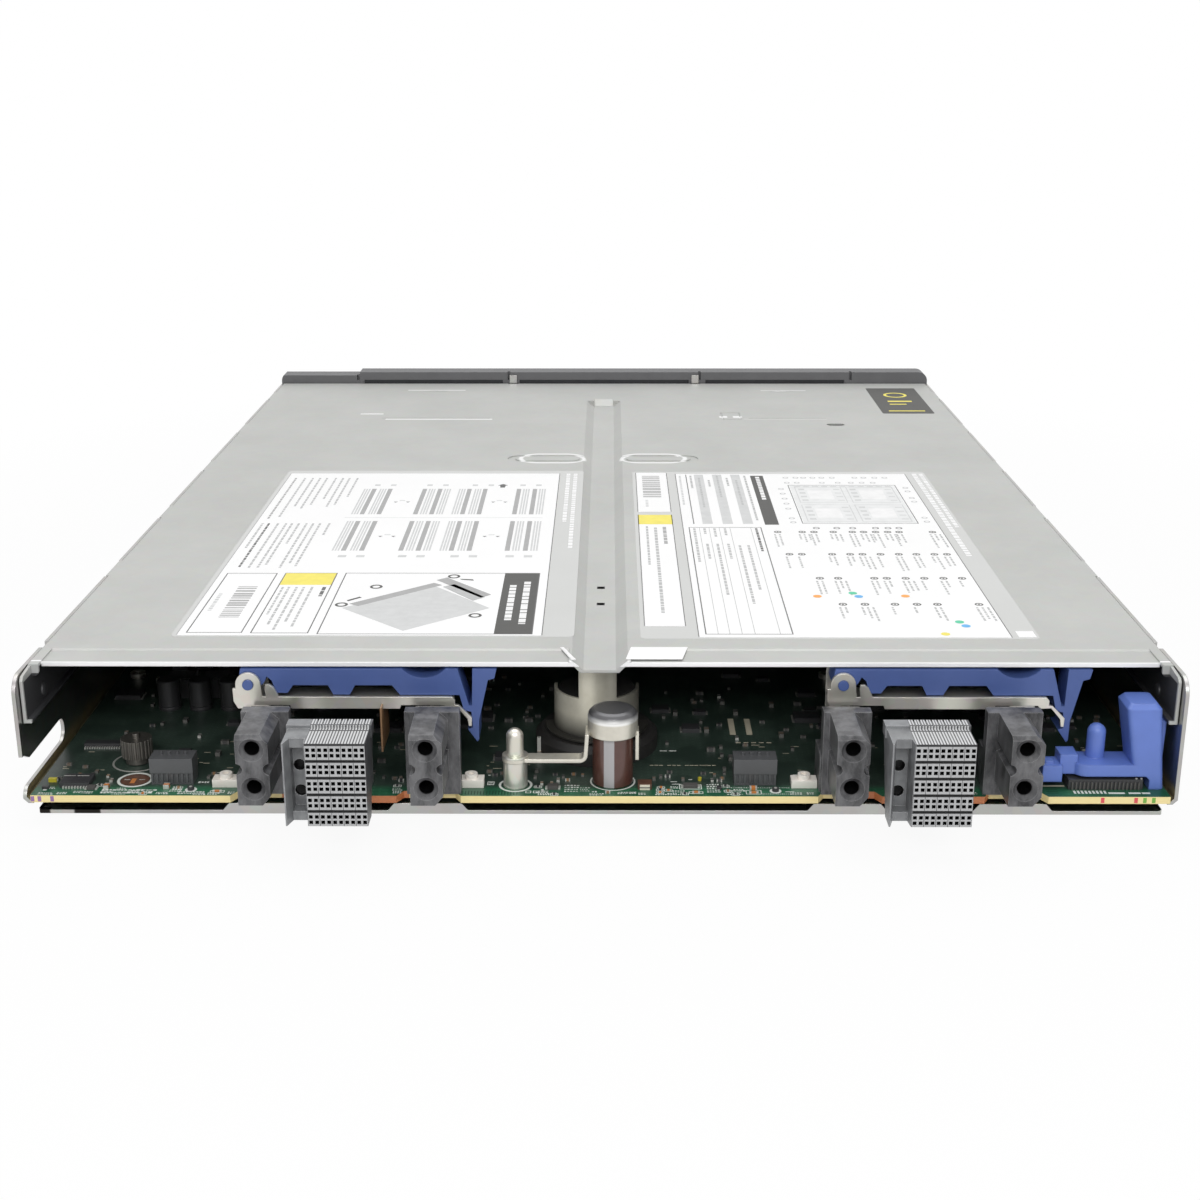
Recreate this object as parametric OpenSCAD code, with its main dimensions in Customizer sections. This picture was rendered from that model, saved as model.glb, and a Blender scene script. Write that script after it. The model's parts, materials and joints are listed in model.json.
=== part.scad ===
// Full-height blade server lying flat: backplane connectors at -Y, front bezel at +Y, +Z up.
// Origin: bottom centre of the bounding box.

/* [Overall] */
// Width over the side walls
body_w = 366; // [350:1:440]
// Thickness of the body, from base pan to access panel
body_t = 45.8; // [45:0.2:56]
// Length of the access panel with its gap to the bezel
panel_len = 454.1; // [440:0.1:560]
// Height of the front bezel
bezel_h = 55.4; // [54:0.2:66]
// How far the bezel hangs below the base pan
bezel_drop = 3.4; // [2:0.1:5]
// Depth of the bezel moulding, front to back
bezel_d = 11.7; // [11:0.1:14]
// How far the handles stand in front of the bezel
handle_reach = 8.6; // [7:0.1:10]
// How far the signal connectors reach behind the access panel
connector_reach = 43; // [41:0.5:50]

/* [Sheet metal] */
// Sheet thickness of the base pan and bulkhead
pan_t = 1.2; // [0.8:0.1:1.6]
// Sheet thickness of the access panel
panel_t = 1; // [0.8:0.1:1.4]
// Width of the sloped corner between floor and side wall
corner_w = 5; // [3:0.5:7]
// How far the side walls reach behind the access panel
wall_tail = 16; // [14:0.5:18]
// Radius of the walls' rear upper corner
wall_corner_r = 6; // [3:0.5:9]
// Height of the slot in the left wall
slot_h = 8.2; // [5:0.1:9]
// Length of the slot in the left wall
slot_len = 42; // [24:1:48]
// Height of the slot's lower edge above the floor's underside
slot_z = 8.4; // [8:0.1:14]
// Number of hook notches along each wall
notch_count = 5; // [3:1:6]
// Length of one hook notch
notch_len = 20; // [12:1:28]

/* [Access panel] */
// Depth of the pressed centre channel
channel_depth = 4; // [2:0.1:4.4]
// Width of the centre channel at the top
channel_w = 18; // [14:0.5:26]
// Width of the centre channel at the bottom
channel_floor_w = 10.4; // [8:0.2:13]
// Height of the panel's side flanges
flange_h = 16.5; // [8:0.5:20]
// Length of the stepped strip along the rear edge
rear_step_len = 11; // [6:0.5:20]

/* [System board] */
// Board thickness
board_t = 2.4; // [1.6:0.1:3]
// Gap between the floor and the board
board_gap = 3.5; // [3:0.1:5]
// Gap between the board's long edges and the outside of the walls
board_side = 3; // [2:0.5:5]
// Gap between the board's front edge and the drive carriers
board_front_gap = 11.8; // [6:0.2:20]

/* [Backplane connectors] */
// Distance between the two connector groups
group_pitch = 181.8; // [176:0.2:190]
// Middle of the left group's contact field
signal_x = -78.65; // [-90:0.05:-76]
// Contact pitch from column to column
contact_pitch = 1.81; // [1.6:0.01:2]
// Contact pitch within a pair
row_pitch = 1.78; // [1.6:0.01:2]
// Pitch of the contact pairs up the face
pair_pitch = 5.45; // [5:0.05:6]
// Contact columns
contact_cols = 10; // [6:1:10]
// Contact pairs in one column
contact_pairs = 5; // [3:1:5]
// Opening of one contact
contact_hole = 1.15; // [0.8:0.05:1.3]
// Depth of one contact opening
contact_depth = 3; // [2:0.5:6]
// Height of the contact face
signal_h = 26.9; // [26:0.1:30]
// Diameter of a power socket
socket_d = 4.6; // [3.5:0.1:5]
// Depth of a power socket
socket_depth = 14; // [8:1:18]
// Distance between the two sockets of a module
socket_pitch = 12.7; // [12:0.1:13.5]

/* [Latch levers] */
// Distance between the two latch levers
latch_pitch = 189.8; // [184:0.2:194]
// Diameter of a latch lever's pin
latch_pin_d = 3.4; // [2.5:0.1:4]
// Radial clearance of every running pin
pin_gap = 0.05; // [0.02:0.01:0.1]
// Width of a latch lever along the blade
latch_w = 10.4; // [8:0.2:14]

/* [Front] */
// Width of one end section, with its release lever
end_w = 43.5; // [42:0.5:48]
// Width of the middle section
middle_w = 108; // [100:1:116]
// Height of a drive bay opening
bay_h = 21.4; // [20:0.2:23]
// Diameter of a release lever's pin
lever_pin_d = 4; // [3:0.1:5]
// Diameter of the power button
power_d = 8; // [6:0.5:10]
// Pitch of the air holes in the grille
grille_pitch = 5.2; // [4.6:0.1:7]
// Diameter of one air hole
grille_hole = 3.8; // [2.5:0.1:4.2]

/* [Heat sinks and memory] */
// Fins on one heat sink
fin_count = 22; // [12:1:28]
// Height of a heat sink over its socket
sink_h = 27; // [20:0.5:28]
// Depth of a heat sink along the air flow
sink_d = 84; // [60:1:86]
// Modules in one memory bank
dimm_count = 8; // [4:1:8]
// Pitch of the memory modules
dimm_pitch = 9.4; // [8:0.1:10]
// Height of a memory module
dimm_h = 29; // [24:0.5:30]

/* [Hidden] */
$fn = 48;

// Small clearances
seat_gap = 0.3;
screw_gap = 0.05;

// Places along the blade
total_d = connector_reach + panel_len + bezel_d + handle_reach;
y_face = -total_d / 2;
y_panel = y_face + connector_reach;
y_tail = y_panel - wall_tail;
y_board = y_tail - 2;
y_bezel = y_panel + panel_len;
y_front = y_bezel + bezel_d;
y_handle = y_front + handle_reach;
carrier_back = y_front - 116;
y_board_front = carrier_back - board_front_gap;

// Heights
z_base = bezel_drop;
z_floor = z_base + pan_t;
z_top = z_base + body_t;
z_panel = z_top - panel_t;
z_board = z_floor + board_gap + board_t;

// Places across the blade
x_wall = body_w / 2;
x_in = x_wall - pan_t;
x_panel = x_in - seat_gap;
x_board = x_wall - board_side;
bay_w = (body_w - 2 * end_w - middle_w) / 2;
bay_x = middle_w / 2 + bay_w / 2;

// A rectangular block between two corners
module block(a, b) {
    translate(a) cube(b - a);
}

// A profile drawn in X and Z, from y0 to y1
module along_y(y0, y1) {
    translate([0, y1, 0]) rotate([90, 0, 0]) linear_extrude(y1 - y0) children();
}

// A profile drawn in Y and Z, from x0 to x1
module along_x(x0, x1) {
    translate([x0, 0, 0]) rotate([90, 0, 90]) linear_extrude(x1 - x0) children();
}

// A round bar along Y at (x, z)
module bar_y(x, z, r, y0, y1) {
    translate([x, y1, z]) rotate([90, 0, 0]) cylinder(r = r, h = y1 - y0);
}

// A rectangle with round corners, given by its middle
module round_rect(w, h, r) {
    union() {
        square([w, h - 2 * r], center = true);
        square([w - 2 * r, h], center = true);
        for (sx = [-1, 1], sz = [-1, 1])
            translate([sx * (w / 2 - r), sz * (h / 2 - r)]) circle(r);
    }
}

// ---------------------------------------------------------------- base pan
notch_pitch = (panel_len - 56) / notch_count;
function notch_y(i) = y_panel + 100 + i * notch_pitch;
corner_relief = 6;

// Floor, sloped corners and side walls as one folded sheet
module pan_section() {
    cut = pan_t * 0.414;
    polygon([
        [-x_wall, z_top - 0.2], [-x_wall, z_base + corner_w], [-x_wall + corner_w, z_base],
        [x_wall - corner_w, z_base], [x_wall, z_base + corner_w], [x_wall, z_top - 0.2],
        [x_in, z_top - 0.2], [x_in, z_base + corner_w + cut], [x_wall - corner_w - cut, z_floor],
        [-x_wall + corner_w + cut, z_floor], [-x_in, z_base + corner_w + cut], [-x_in, z_top - 0.2]
    ]);
}

// Corner left over outside a quarter round, for rounding a wall's end
module corner_offcut(r) {
    difference() {
        translate([-1, -r]) square([r + 1, r + 1]);
        translate([r, -r]) circle(r);
    }
}

// A raised pad on the floor under one notch of the board's rear edge
module floor_pad(x0, x1) {
    along_y(y_tail, y_tail + 14)
        polygon([[x0 - 3, z_floor], [x1 + 2, z_floor], [x1, z_floor + 2.4], [x0 - 1, z_floor + 2.4]]);
}

module base_pan() {
    color([0.62, 0.63, 0.62])
    difference() {
        union() {
            along_y(y_tail, y_bezel - pan_t) pan_section();
            for (n = edge_notches) floor_pad(n.x, n.y);
            for (p = screw_places) translate([p.x, p.y, z_floor]) cylinder(d = 6.4, h = board_gap);
        }
        // Round upper corners at the walls' rear ends
        along_x(-x_wall - 1, x_wall + 1)
            translate([y_tail, z_top - 0.2]) corner_offcut(wall_corner_r);
        // Slot for the guide of the enclosure, left wall only
        along_x(-x_wall - 1, -x_in + 1) translate([y_tail - 1, z_base + slot_z]) {
            square([slot_len + 1 - slot_h / 2, slot_h]);
            translate([slot_len + 1 - slot_h / 2, slot_h / 2]) circle(d = slot_h);
        }
        along_x(-x_wall - 1, -x_in + 1) {
            translate([y_tail, z_base + slot_z]) corner_offcut(3.4);
            // Flared lead-in over the slot
            translate([y_tail, z_base + slot_z + slot_h])
                polygon([[-1, -1], [6.2, -1], [6.2, 0], [1.4, 2.6], [-1, 2.6]]);
        }
        // The folded corners stop short of the rear edge
        for (s = [-1, 1])
            block([min(s * (x_wall - corner_w + 0.2), s * (x_wall + 1)), y_tail - 1, z_base - 1],
                [max(s * (x_wall - corner_w + 0.2), s * (x_wall + 1)), y_tail + corner_relief, z_base + 3.5]);
        // Notches that take the panel's hooks
        for (s = [-1, 1], i = [0 : notch_count - 1])
            block([s * x_wall - pan_t - 0.5, notch_y(i) - notch_len / 2, z_panel - 1.4],
                [s * x_wall + pan_t + 0.5, notch_y(i) + notch_len / 2, z_top + 1]);
        for (s = [-1, 1])
            block([s * x_wall - pan_t - 0.5, y_panel + 13, z_panel - 5],
                [s * x_wall + pan_t + 0.5, y_panel + 19, z_top + 1]);
        for (p = screw_places) translate([p.x, p.y, z_floor - 0.2]) cylinder(r = 1.5, h = board_gap + 1);
    }
}

// ---------------------------------------------------------------- access panel
channel_end = y_bezel - 44;
step_drop = 0.5;
skirt_in = 3.3;
skirt_back = 3.2;
flange_back = 12.3;

// The panel's length profile: a rear strip pressed down by a small step
module panel_profile() {
    y0 = y_panel;
    y1 = y_bezel - pan_t - seat_gap;
    ys = y_panel + rear_step_len;
    polygon([[y0, z_panel - step_drop - 0.4], [y0, z_top - step_drop], [ys, z_top - step_drop],
        [ys + 0.8, z_top], [y1, z_top], [y1, z_panel], [ys + 1, z_panel], [ys + 0.2, z_panel - step_drop],
        [y0 + 1.4, z_panel - step_drop], [y0 + 1.4, z_panel - step_drop - 0.4]]);
}

// The channel's trapezium, from z0 up to z1, widened by d on each side
module channel_section(depth, d) {
    polygon([[-channel_w / 2 - d, z_top + (d == 0 ? 1 : 0)], [-channel_w / 2 - d, z_top],
        [-channel_floor_w / 2 - d, z_top - depth], [channel_floor_w / 2 + d, z_top - depth],
        [channel_w / 2 + d, z_top], [channel_w / 2 + d, z_top + (d == 0 ? 1 : 0)]]);
}

// A stadium-shaped pocket or slot, long in X
module stadium(l, w) {
    union() {
        square([l - w, w], center = true);
        for (s = [-1, 1]) translate([s * (l - w) / 2, 0]) circle(d = w);
    }
}

module access_panel() {
    y1 = y_bezel - pan_t - seat_gap;
    color([0.77, 0.78, 0.75])
    difference() {
        union() {
            along_x(-x_panel + skirt_in, x_panel - skirt_in) panel_profile();
            // Edge strips with the hooks that reach over the walls
            for (s = [-1, 1]) {
                block([min(s * x_panel, s * (x_panel - skirt_in)), y_panel - skirt_back, z_panel],
                    [max(s * x_panel, s * (x_panel - skirt_in)), y1, z_top]);
                // Rounded tab turned down at the rear corner
                along_y(y_panel - skirt_back, y_panel - skirt_back + panel_t)
                    translate([s * (x_panel - skirt_in / 2), z_top - 2.4]) union() {
                        circle(d = skirt_in);
                        translate([-skirt_in / 2, 0]) square([skirt_in, 2.2]);
                    }
                for (i = [0 : notch_count - 1])
                    block([min(s * (x_wall - 0.5), s * x_panel), notch_y(i) - notch_len / 2 + 0.6, z_panel],
                        [max(s * (x_wall - 0.5), s * x_panel), notch_y(i) + notch_len / 2 - 0.6, z_top]);
                // Side flange with its turned-in foot
                along_x(min(s * x_panel, s * (x_panel - panel_t)), max(s * x_panel, s * (x_panel - panel_t)))
                    polygon([[y_panel - flange_back, z_top - flange_h], [y1, z_top - flange_h],
                        [y1, z_top - 0.4], [y_panel - skirt_back, z_top - 0.4],
                        [y_panel - flange_back + 1.3, z_top - 1.2], [y_panel - flange_back, z_top - 2.4]]);
                block([min(s * x_panel, s * (x_panel - 2.6)), y_panel - flange_back, z_top - flange_h],
                    [max(s * x_panel, s * (x_panel - 2.6)), y1 - 30, z_top - flange_h + panel_t]);
            }
            // Underside of the pressed channel
            along_y(y_panel, channel_end) channel_section(channel_depth, panel_t);
            // Front drop flange
            block([-x_panel + 4, y1 - panel_t, z_top - 6], [x_panel - 4, y1, z_top - 0.4]);
        }
        along_y(y_panel - 1, channel_end - 5) channel_section(channel_depth - panel_t, 0);
        // Sloped far end of the channel
        along_x(-channel_floor_w / 2, channel_floor_w / 2)
            polygon([[channel_end - 5.1, z_top - channel_depth + panel_t], [channel_end - 5.1, z_top + 1],
                [channel_end - 1, z_top + 1], [channel_end - 1, z_top]]);
        // Two shallow curved pressings beside the channel
        for (s = [-1, 1]) translate([s * 26, y_bezel - 181, z_top - 0.45]) linear_extrude(1) difference() {
            stadium(37, 13);
            stadium(30, 7.5);
        }
        // Finger arcs near the front edge
        for (x = [-bay_x + 4, bay_x + 1]) translate([x, y_bezel - 26, z_top - 0.4]) linear_extrude(1)
            intersection() {
                translate([0, -26]) circle(r = 30);
                translate([0, 32]) circle(r = 30);
            }
        // Thin pressed lines and a label window
        for (p = [[-bay_x + 10, 93.6, 56], [-bay_x - 24, 83.2, 13], [bay_x - 2, 93.6, 40]])
            translate([p.x - p.z / 2, y_bezel - p.y, z_top - 0.3]) cube([p.z, 0.9, 1]);
        translate([66, y_bezel - 88, z_top - 0.35]) linear_extrude(1) difference() {
            square([10, 17], center = true);
            square([8.4, 15.4], center = true);
        }
        // Sight holes
        translate([118, y_bezel - 108, z_panel - 1]) linear_extrude(4) stadium(9, 5);
        for (y = [y_panel + 85.4, y_panel + 66.6])
            translate([0, y, z_top - channel_depth - 3]) cylinder(d = 2.6, h = 6);
        // Slots in the front flange for the bulkhead's two tabs
        for (s = [-1, 1]) block([s * tab_x - 3, y1 - 1.4, z_top - 3], [s * tab_x + 3, y1 + 1, z_top + 1]);
    }
}

// Rivets that close the panel's side flanges
module panel_rivets() {
    color([0.83, 0.83, 0.8])
    for (s = [-1, 1], y = [y_panel + 6, y_panel + 150, y_panel + 300])
        mirror([s < 0 ? 1 : 0, 0, 0])
            translate([x_panel - panel_t, y, z_top - 12]) rotate([0, -90, 0])
                rotate_extrude() polygon([[0, 0], [2.4, 0], [2.2, 0.5], [1.4, 0.9], [0, 1]]);
}

// ---------------------------------------------------------------- front
tab_x = middle_w / 2 - 2.5;
bay_z = z_base + 3.6;
grille_z = bay_z + bay_h + 3.6;
grille_h = bezel_h - 4.4 - grille_z;
middle_z = z_base + 10.6;
lever_z = 6;
lever_gap = 0.5;
lever_axis_x = x_wall - 6;
lever_axis_y = y_front - 2.8;
recess_y = y_front - 6.8;
control_z = z_base + 5.4;
power_x_front = -36;
lens_x = [-24, -17, -10, -3];
port_x = 38;
port_w = 17;
port_h = 6.4;
tab_slot_x = 15;
tab_slot_w = 24;
tab_slot_h = 1.6;

// Openings shared by bezel and bulkhead, each widened by d
module front_openings(d) {
    for (s = [-1, 1]) {
        translate([s * bay_x, bay_z + bay_h / 2]) square([bay_w - 4.8 + 2 * d, bay_h + 2 * d], center = true);
        translate([s * bay_x, grille_z + grille_h / 2])
            square([bay_w - 7 + 2 * d, grille_h + 2 * d], center = true);
    }
    translate([0, (middle_z + bezel_h - 4.4) / 2])
        square([middle_w - 12 + 2 * d, bezel_h - 4.4 - middle_z + 2 * d], center = true);
}

module front_controls(d) {
    translate([power_x_front, control_z]) circle(d = power_d + 2 * d);
    for (x = lens_x) translate([x, control_z]) circle(d = 3 + 2 * d);
    translate([port_x, control_z]) square([port_w + 2 * d, port_h + 2 * d], center = true);
    translate([tab_slot_x, control_z]) square([tab_slot_w + 2 * d, tab_slot_h + 2 * d], center = true);
}

bezel_screw_x = [-x_wall + end_w - 2.4, -middle_w / 2 + 3, middle_w / 2 - 3, x_wall - end_w + 2.4];
bezel_screw_z = [z_floor + 4.4, z_top - 11];
bezel_screw_r = 1.5;
bezel_screw_len = 4;

module front_bezel() {
    color([0.24, 0.25, 0.26])
    difference() {
        along_y(y_bezel, y_front) translate([0, bezel_h / 2]) difference() {
            round_rect(body_w, bezel_h, 5);
            translate([0, -bezel_h / 2]) {
                front_openings(0);
                front_controls(0.15);
            }
        }
        // Recesses for the release levers, open to the sides
        for (s = [-1, 1]) {
            block([min(s * (x_wall - end_w + 3), s * (x_wall + 1)), recess_y, lever_z],
                [max(s * (x_wall - end_w + 3), s * (x_wall + 1)), y_front + 1, bezel_h - lever_z]);
            translate([s * lever_axis_x, lever_axis_y, 2]) cylinder(d = lever_pin_d, h = bezel_h - 4);
            // Hollow behind the recess
            block([min(s * (x_wall - end_w + 5), s * (x_wall - 3)), y_bezel - 1, z_base + 5],
                [max(s * (x_wall - end_w + 5), s * (x_wall - 3)), recess_y - 2.2, z_top - 5]);
        }
        // Low step along the top of the left end
        block([-x_wall - 1, y_bezel - 1, bezel_h - 1.8], [-x_wall + end_w + 1, y_front + 1, bezel_h + 1]);
        // Parting notches between the sections
        for (s = [-1, 1], x = [middle_w / 2, x_wall - end_w])
            block([s * x - 0.7, y_bezel - 1, z_top + 1.6], [s * x + 0.7, y_bezel + 3, bezel_h + 1]);
        for (x = bezel_screw_x, z = bezel_screw_z)
            bar_y(x, z, bezel_screw_r, y_bezel - 1, y_bezel + bezel_screw_len + 0.2);
    }
}

module front_bulkhead() {
    color([0.72, 0.73, 0.72])
    difference() {
        union() {
            along_y(y_bezel - pan_t, y_bezel) difference() {
                translate([-x_wall + 0.4, z_base]) square([body_w - 0.8, body_t - 0.4]);
                front_openings(0.8);
                front_controls(1);
            }
            for (s = [-1, 1])
                block([s * tab_x - 2, y_bezel - pan_t, z_top - 1], [s * tab_x + 2, y_bezel, z_top + 4.6]);
        }
        for (x = bezel_screw_x, z = bezel_screw_z)
            bar_y(x, z, bezel_screw_r + 0.1, y_bezel - pan_t - 1, y_bezel + 1);
    }
}

// Pan-head screws through the bulkhead into the bezel
module bezel_screws() {
    color([0.75, 0.76, 0.76])
    for (x = bezel_screw_x, z = bezel_screw_z) difference() {
        union() {
            bar_y(x, z, 2.3, y_bezel - pan_t - 1.6, y_bezel - pan_t);
            bar_y(x, z, bezel_screw_r - screw_gap, y_bezel - pan_t, y_bezel + bezel_screw_len);
        }
        bar_y(x, z, 0.9, y_bezel - pan_t - 2, y_bezel - pan_t - 0.6);
    }
}

// Staggered air holes over a w x h field
module air_holes(w, h) {
    rows = floor((h - grille_hole) / (grille_pitch * 0.87));
    cols = floor((w - grille_hole) / grille_pitch) - 1;
    for (j = [0 : rows - 1], i = [0 : cols - 1])
        translate([(i - (cols - 1) / 2 + (j % 2 == 0 ? 0.25 : -0.25)) * grille_pitch,
            (j - (rows - 1) / 2) * grille_pitch * 0.87]) circle(d = grille_hole, $fn = 24);
}

// Perforated sheets that close the bezel's air windows
module airflow_grille() {
    mid_h = bezel_h - 4.4 - middle_z;
    y0 = y_bezel + 1;
    color([0.32, 0.33, 0.34]) {
        for (s = [-1, 1]) along_y(y0, y0 + 1) translate([s * bay_x, grille_z + grille_h / 2])
            difference() {
                square([bay_w - 7 - 0.1, grille_h - 0.1], center = true);
                air_holes(bay_w - 7, grille_h);
            }
        along_y(y0, y0 + 1) translate([0, middle_z + mid_h / 2]) difference() {
            square([middle_w - 12 - 0.1, mid_h - 0.1], center = true);
            air_holes(middle_w - 12, mid_h);
        }
    }
}

// Plan of a release lever, drawn for the right side with the pin at the origin
lever_l = end_w - 3 - 6 - 1.4;
module lever_plan() {
    out = y_handle - 0.8 - lever_axis_y;
    union() {
        circle(r = 3.7);
        polygon([[0, -3.4], [3, 0], [3, 2.1], [1.2, out - 6.6], [-3, out - 2.6], [-10, out],
            [-lever_l + 1.4, out], [-lever_l, out - 1.4], [-lever_l, 3.5], [-lever_l + 5, -1.5]]);
    }
}

module release_lever() {
    out = y_handle - 0.8;
    color([0.30, 0.31, 0.33])
    difference() {
        translate([lever_axis_x, lever_axis_y, lever_z + lever_gap])
            linear_extrude(bezel_h - 2 * lever_z - 2 * lever_gap) lever_plan();
        translate([lever_axis_x, lever_axis_y, 0]) cylinder(d = lever_pin_d + 2 * pin_gap, h = bezel_h);
        // Pocket for the release button
        block([release_x - 3, out - 5, bezel_h / 2 - 6], [release_x + 3, out + 1, bezel_h / 2 + 6]);
        // Grip grooves
        for (i = [0 : 5])
            block([release_x + 7 + i * 2.4, out - 0.7, lever_z + 8],
                [release_x + 8.1 + i * 2.4, out + 1, bezel_h - lever_z - 8]);
    }
}

release_x = lever_axis_x - lever_l + 9.4;
module release_button() {
    out = y_handle - 0.8;
    color([0.55, 0.14, 0.24])
    block([release_x - 2.7, out - 3, bezel_h / 2 - 5.7], [release_x + 2.7, y_handle, bezel_h / 2 + 5.7]);
}

module release_lever_right() { release_lever(); }
module release_lever_left() { mirror([1, 0, 0]) release_lever(); }
module release_button_right() { release_button(); }
module release_button_left() { mirror([1, 0, 0]) release_button(); }

module release_pins() {
    color([0.8, 0.8, 0.8])
    for (s = [-1, 1]) translate([s * lever_axis_x, lever_axis_y, 2.2])
        cylinder(d = lever_pin_d - 2 * screw_gap * 0.6, h = bezel_h - 4.4);
}

module power_button() {
    color([0.80, 0.82, 0.80])
    translate([power_x_front, y_front + 0.9, control_z]) rotate([90, 0, 0]) rotate_extrude()
        polygon([[0, 0.3], [power_d / 2 - 1.6, 0.2], [power_d / 2 - 0.6, 0], [power_d / 2, 0.6],
            [power_d / 2, 8], [0, 8]]);
}

// Light pipes of the health and network lamps
module status_lenses() {
    color([0.75, 0.9, 0.78])
    for (x = lens_x) bar_y(x, control_z, 1.5, y_bezel + 1, y_front + 0.3);
}

// Shell, tongue and contacts of the service cable socket
module service_port() {
    color([0.7, 0.72, 0.74])
    translate([port_x, 0, control_z]) {
        along_y(y_bezel - 8, y_front - 1) difference() {
            square([port_w, port_h], center = true);
            square([port_w - 1, port_h - 1], center = true);
        }
        block([-port_w / 2, y_bezel - 8, -port_h / 2], [port_w / 2, y_bezel - 7, port_h / 2]);
        block([-port_w / 2 + 2, y_bezel - 7.5, -0.8], [port_w / 2 - 2, y_front - 3, 0.8]);
    }
}

// Slide-out tab with a grip lip
module pull_tab() {
    color([0.86, 0.87, 0.85]) {
        block([tab_slot_x - tab_slot_w / 2 + 0.3, y_bezel - 46, control_z - 0.55],
            [tab_slot_x + tab_slot_w / 2 - 0.3, y_front + 1, control_z + 0.55]);
        block([tab_slot_x - tab_slot_w / 2 + 0.3, y_front + 0.3, control_z - 1.6],
            [tab_slot_x + tab_slot_w / 2 - 0.3, y_front + 2, control_z + 1.6]);
    }
}

// ---------------------------------------------------------------- drives
carrier_w = bay_w - 5.6;
carrier_h = bay_h - 0.8;
carrier_z = bay_z + 0.4;
cage_t = 1;

// Hat-shaped sheet over one drive bay
module cage_hat(x) {
    w = bay_w - 4.4;
    h = bay_z + bay_h + 0.4;
    along_y(carrier_back - 4, y_bezel - pan_t)
        polygon([[x - w / 2 - 7, z_floor], [x - w / 2, z_floor], [x - w / 2, h], [x + w / 2, h],
            [x + w / 2, z_floor], [x + w / 2 + 7, z_floor], [x + w / 2 + 7, z_floor + cage_t],
            [x + w / 2 + cage_t, z_floor + cage_t], [x + w / 2 + cage_t, h + cage_t],
            [x - w / 2 - cage_t, h + cage_t], [x - w / 2 - cage_t, z_floor + cage_t],
            [x - w / 2 - 7, z_floor + cage_t]]);
}

module drive_cage() {
    color([0.74, 0.75, 0.74]) {
        for (s = [-1, 1]) difference() {
            cage_hat(s * bay_x);
            for (i = [0 : 3]) translate([s * bay_x, carrier_back + 18 + 24 * i, 0]) linear_extrude(40)
                stadium(bay_w - 34, 9);
        }
    }
}

module drive_backplane() {
    color([0.12, 0.36, 0.24])
    for (s = [-1, 1]) {
        block([s * bay_x - carrier_w / 2, carrier_back - 5.6, z_floor + cage_t + seat_gap],
            [s * bay_x + carrier_w / 2, carrier_back - 4, bay_z + bay_h + 12]);
        color([0.1, 0.1, 0.1]) block([s * bay_x - 22, carrier_back - 4, carrier_z + 3],
            [s * bay_x + 22, carrier_back - 0.6, carrier_z + 10]);
    }
}

// Open tray with side rails, rear bar and a slotted face
module drive_carrier() {
    rail_t = 2.4;
    face = y_front + 0.6;
    color([0.36, 0.37, 0.38])
    difference() {
        union() {
            for (s = [-1, 1]) block([min(s * (carrier_w / 2 - rail_t), s * carrier_w / 2), carrier_back, carrier_z],
                [max(s * (carrier_w / 2 - rail_t), s * carrier_w / 2), face - 6, carrier_z + carrier_h - 2]);
            block([-carrier_w / 2, carrier_back, carrier_z], [carrier_w / 2, face - 6, carrier_z + 1.2]);
            along_y(face - 8, face) translate([0, carrier_z + carrier_h / 2])
                round_rect(carrier_w, carrier_h, 1.6);
            // Ears that carry the handle's pin
            translate([handle_pin_x, handle_pin_y, 0])
                for (z = [carrier_z + 3, carrier_z + carrier_h - 5]) translate([0, 0, z]) cylinder(r = 2.6, h = 2);
            for (z = [carrier_z + 3, carrier_z + carrier_h - 5])
                block([handle_pin_x - 2.6, face - 2, z], [handle_pin_x + 2.6, handle_pin_y, z + 2]);
            translate([handle_pin_x, handle_pin_y, carrier_z + 4]) cylinder(r = 1.2, h = carrier_h - 8);
        }
        // Open floor under the drive
        for (i = [0 : 2]) translate([0, carrier_back + 24 + 32 * i, carrier_z - 1]) linear_extrude(3)
            stadium(carrier_w - 22, 18);
        // Air slots in the face
        for (i = [0 : 4]) block([-carrier_w / 2 + 5 + i * 4, face - 9, carrier_z + 4],
            [-carrier_w / 2 + 6.8 + i * 4, face + 1, carrier_z + carrier_h - 4]);
        // Recess for the handle's end and the button
        block([-carrier_w / 2 + 27, face - 3.4, carrier_z + 3.2],
            [-carrier_w / 2 + 37, face + 1, carrier_z + carrier_h - 3.2]);
    }
}

handle_pin_x = carrier_w / 2 - 4;
handle_pin_y = y_front + 3.6;
handle_h = carrier_h - 10.6;

// Ejector handle that swings out about the pin at the carrier's outer end
module drive_handle() {
    color([0.20, 0.20, 0.21])
    difference() {
        translate([handle_pin_x, handle_pin_y, carrier_z + 5.3]) linear_extrude(handle_h) union() {
            circle(r = 2.5);
            polygon([[0, 2.5], [-6, 4], [-carrier_w + 43, 4], [-carrier_w + 42, 0.4], [-carrier_w + 46, -1.6],
                [0, -1.6]]);
        }
        translate([handle_pin_x, handle_pin_y, 0]) cylinder(r = 1.2 + pin_gap, h = bezel_h);
        block([-carrier_w / 2 + 52, y_front + 6.4, carrier_z + 7.4],
            [handle_pin_x - 9, y_handle + 1, carrier_z + 3.2 + handle_h]);
    }
}

module drive_button() {
    face = y_front + 0.6;
    color([0.55, 0.14, 0.24])
    block([-carrier_w / 2 + 27.3, face - 1.2, carrier_z + 3.5],
        [-carrier_w / 2 + 36.7, face + 2.4, carrier_z + carrier_h - 3.5]);
}

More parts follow.
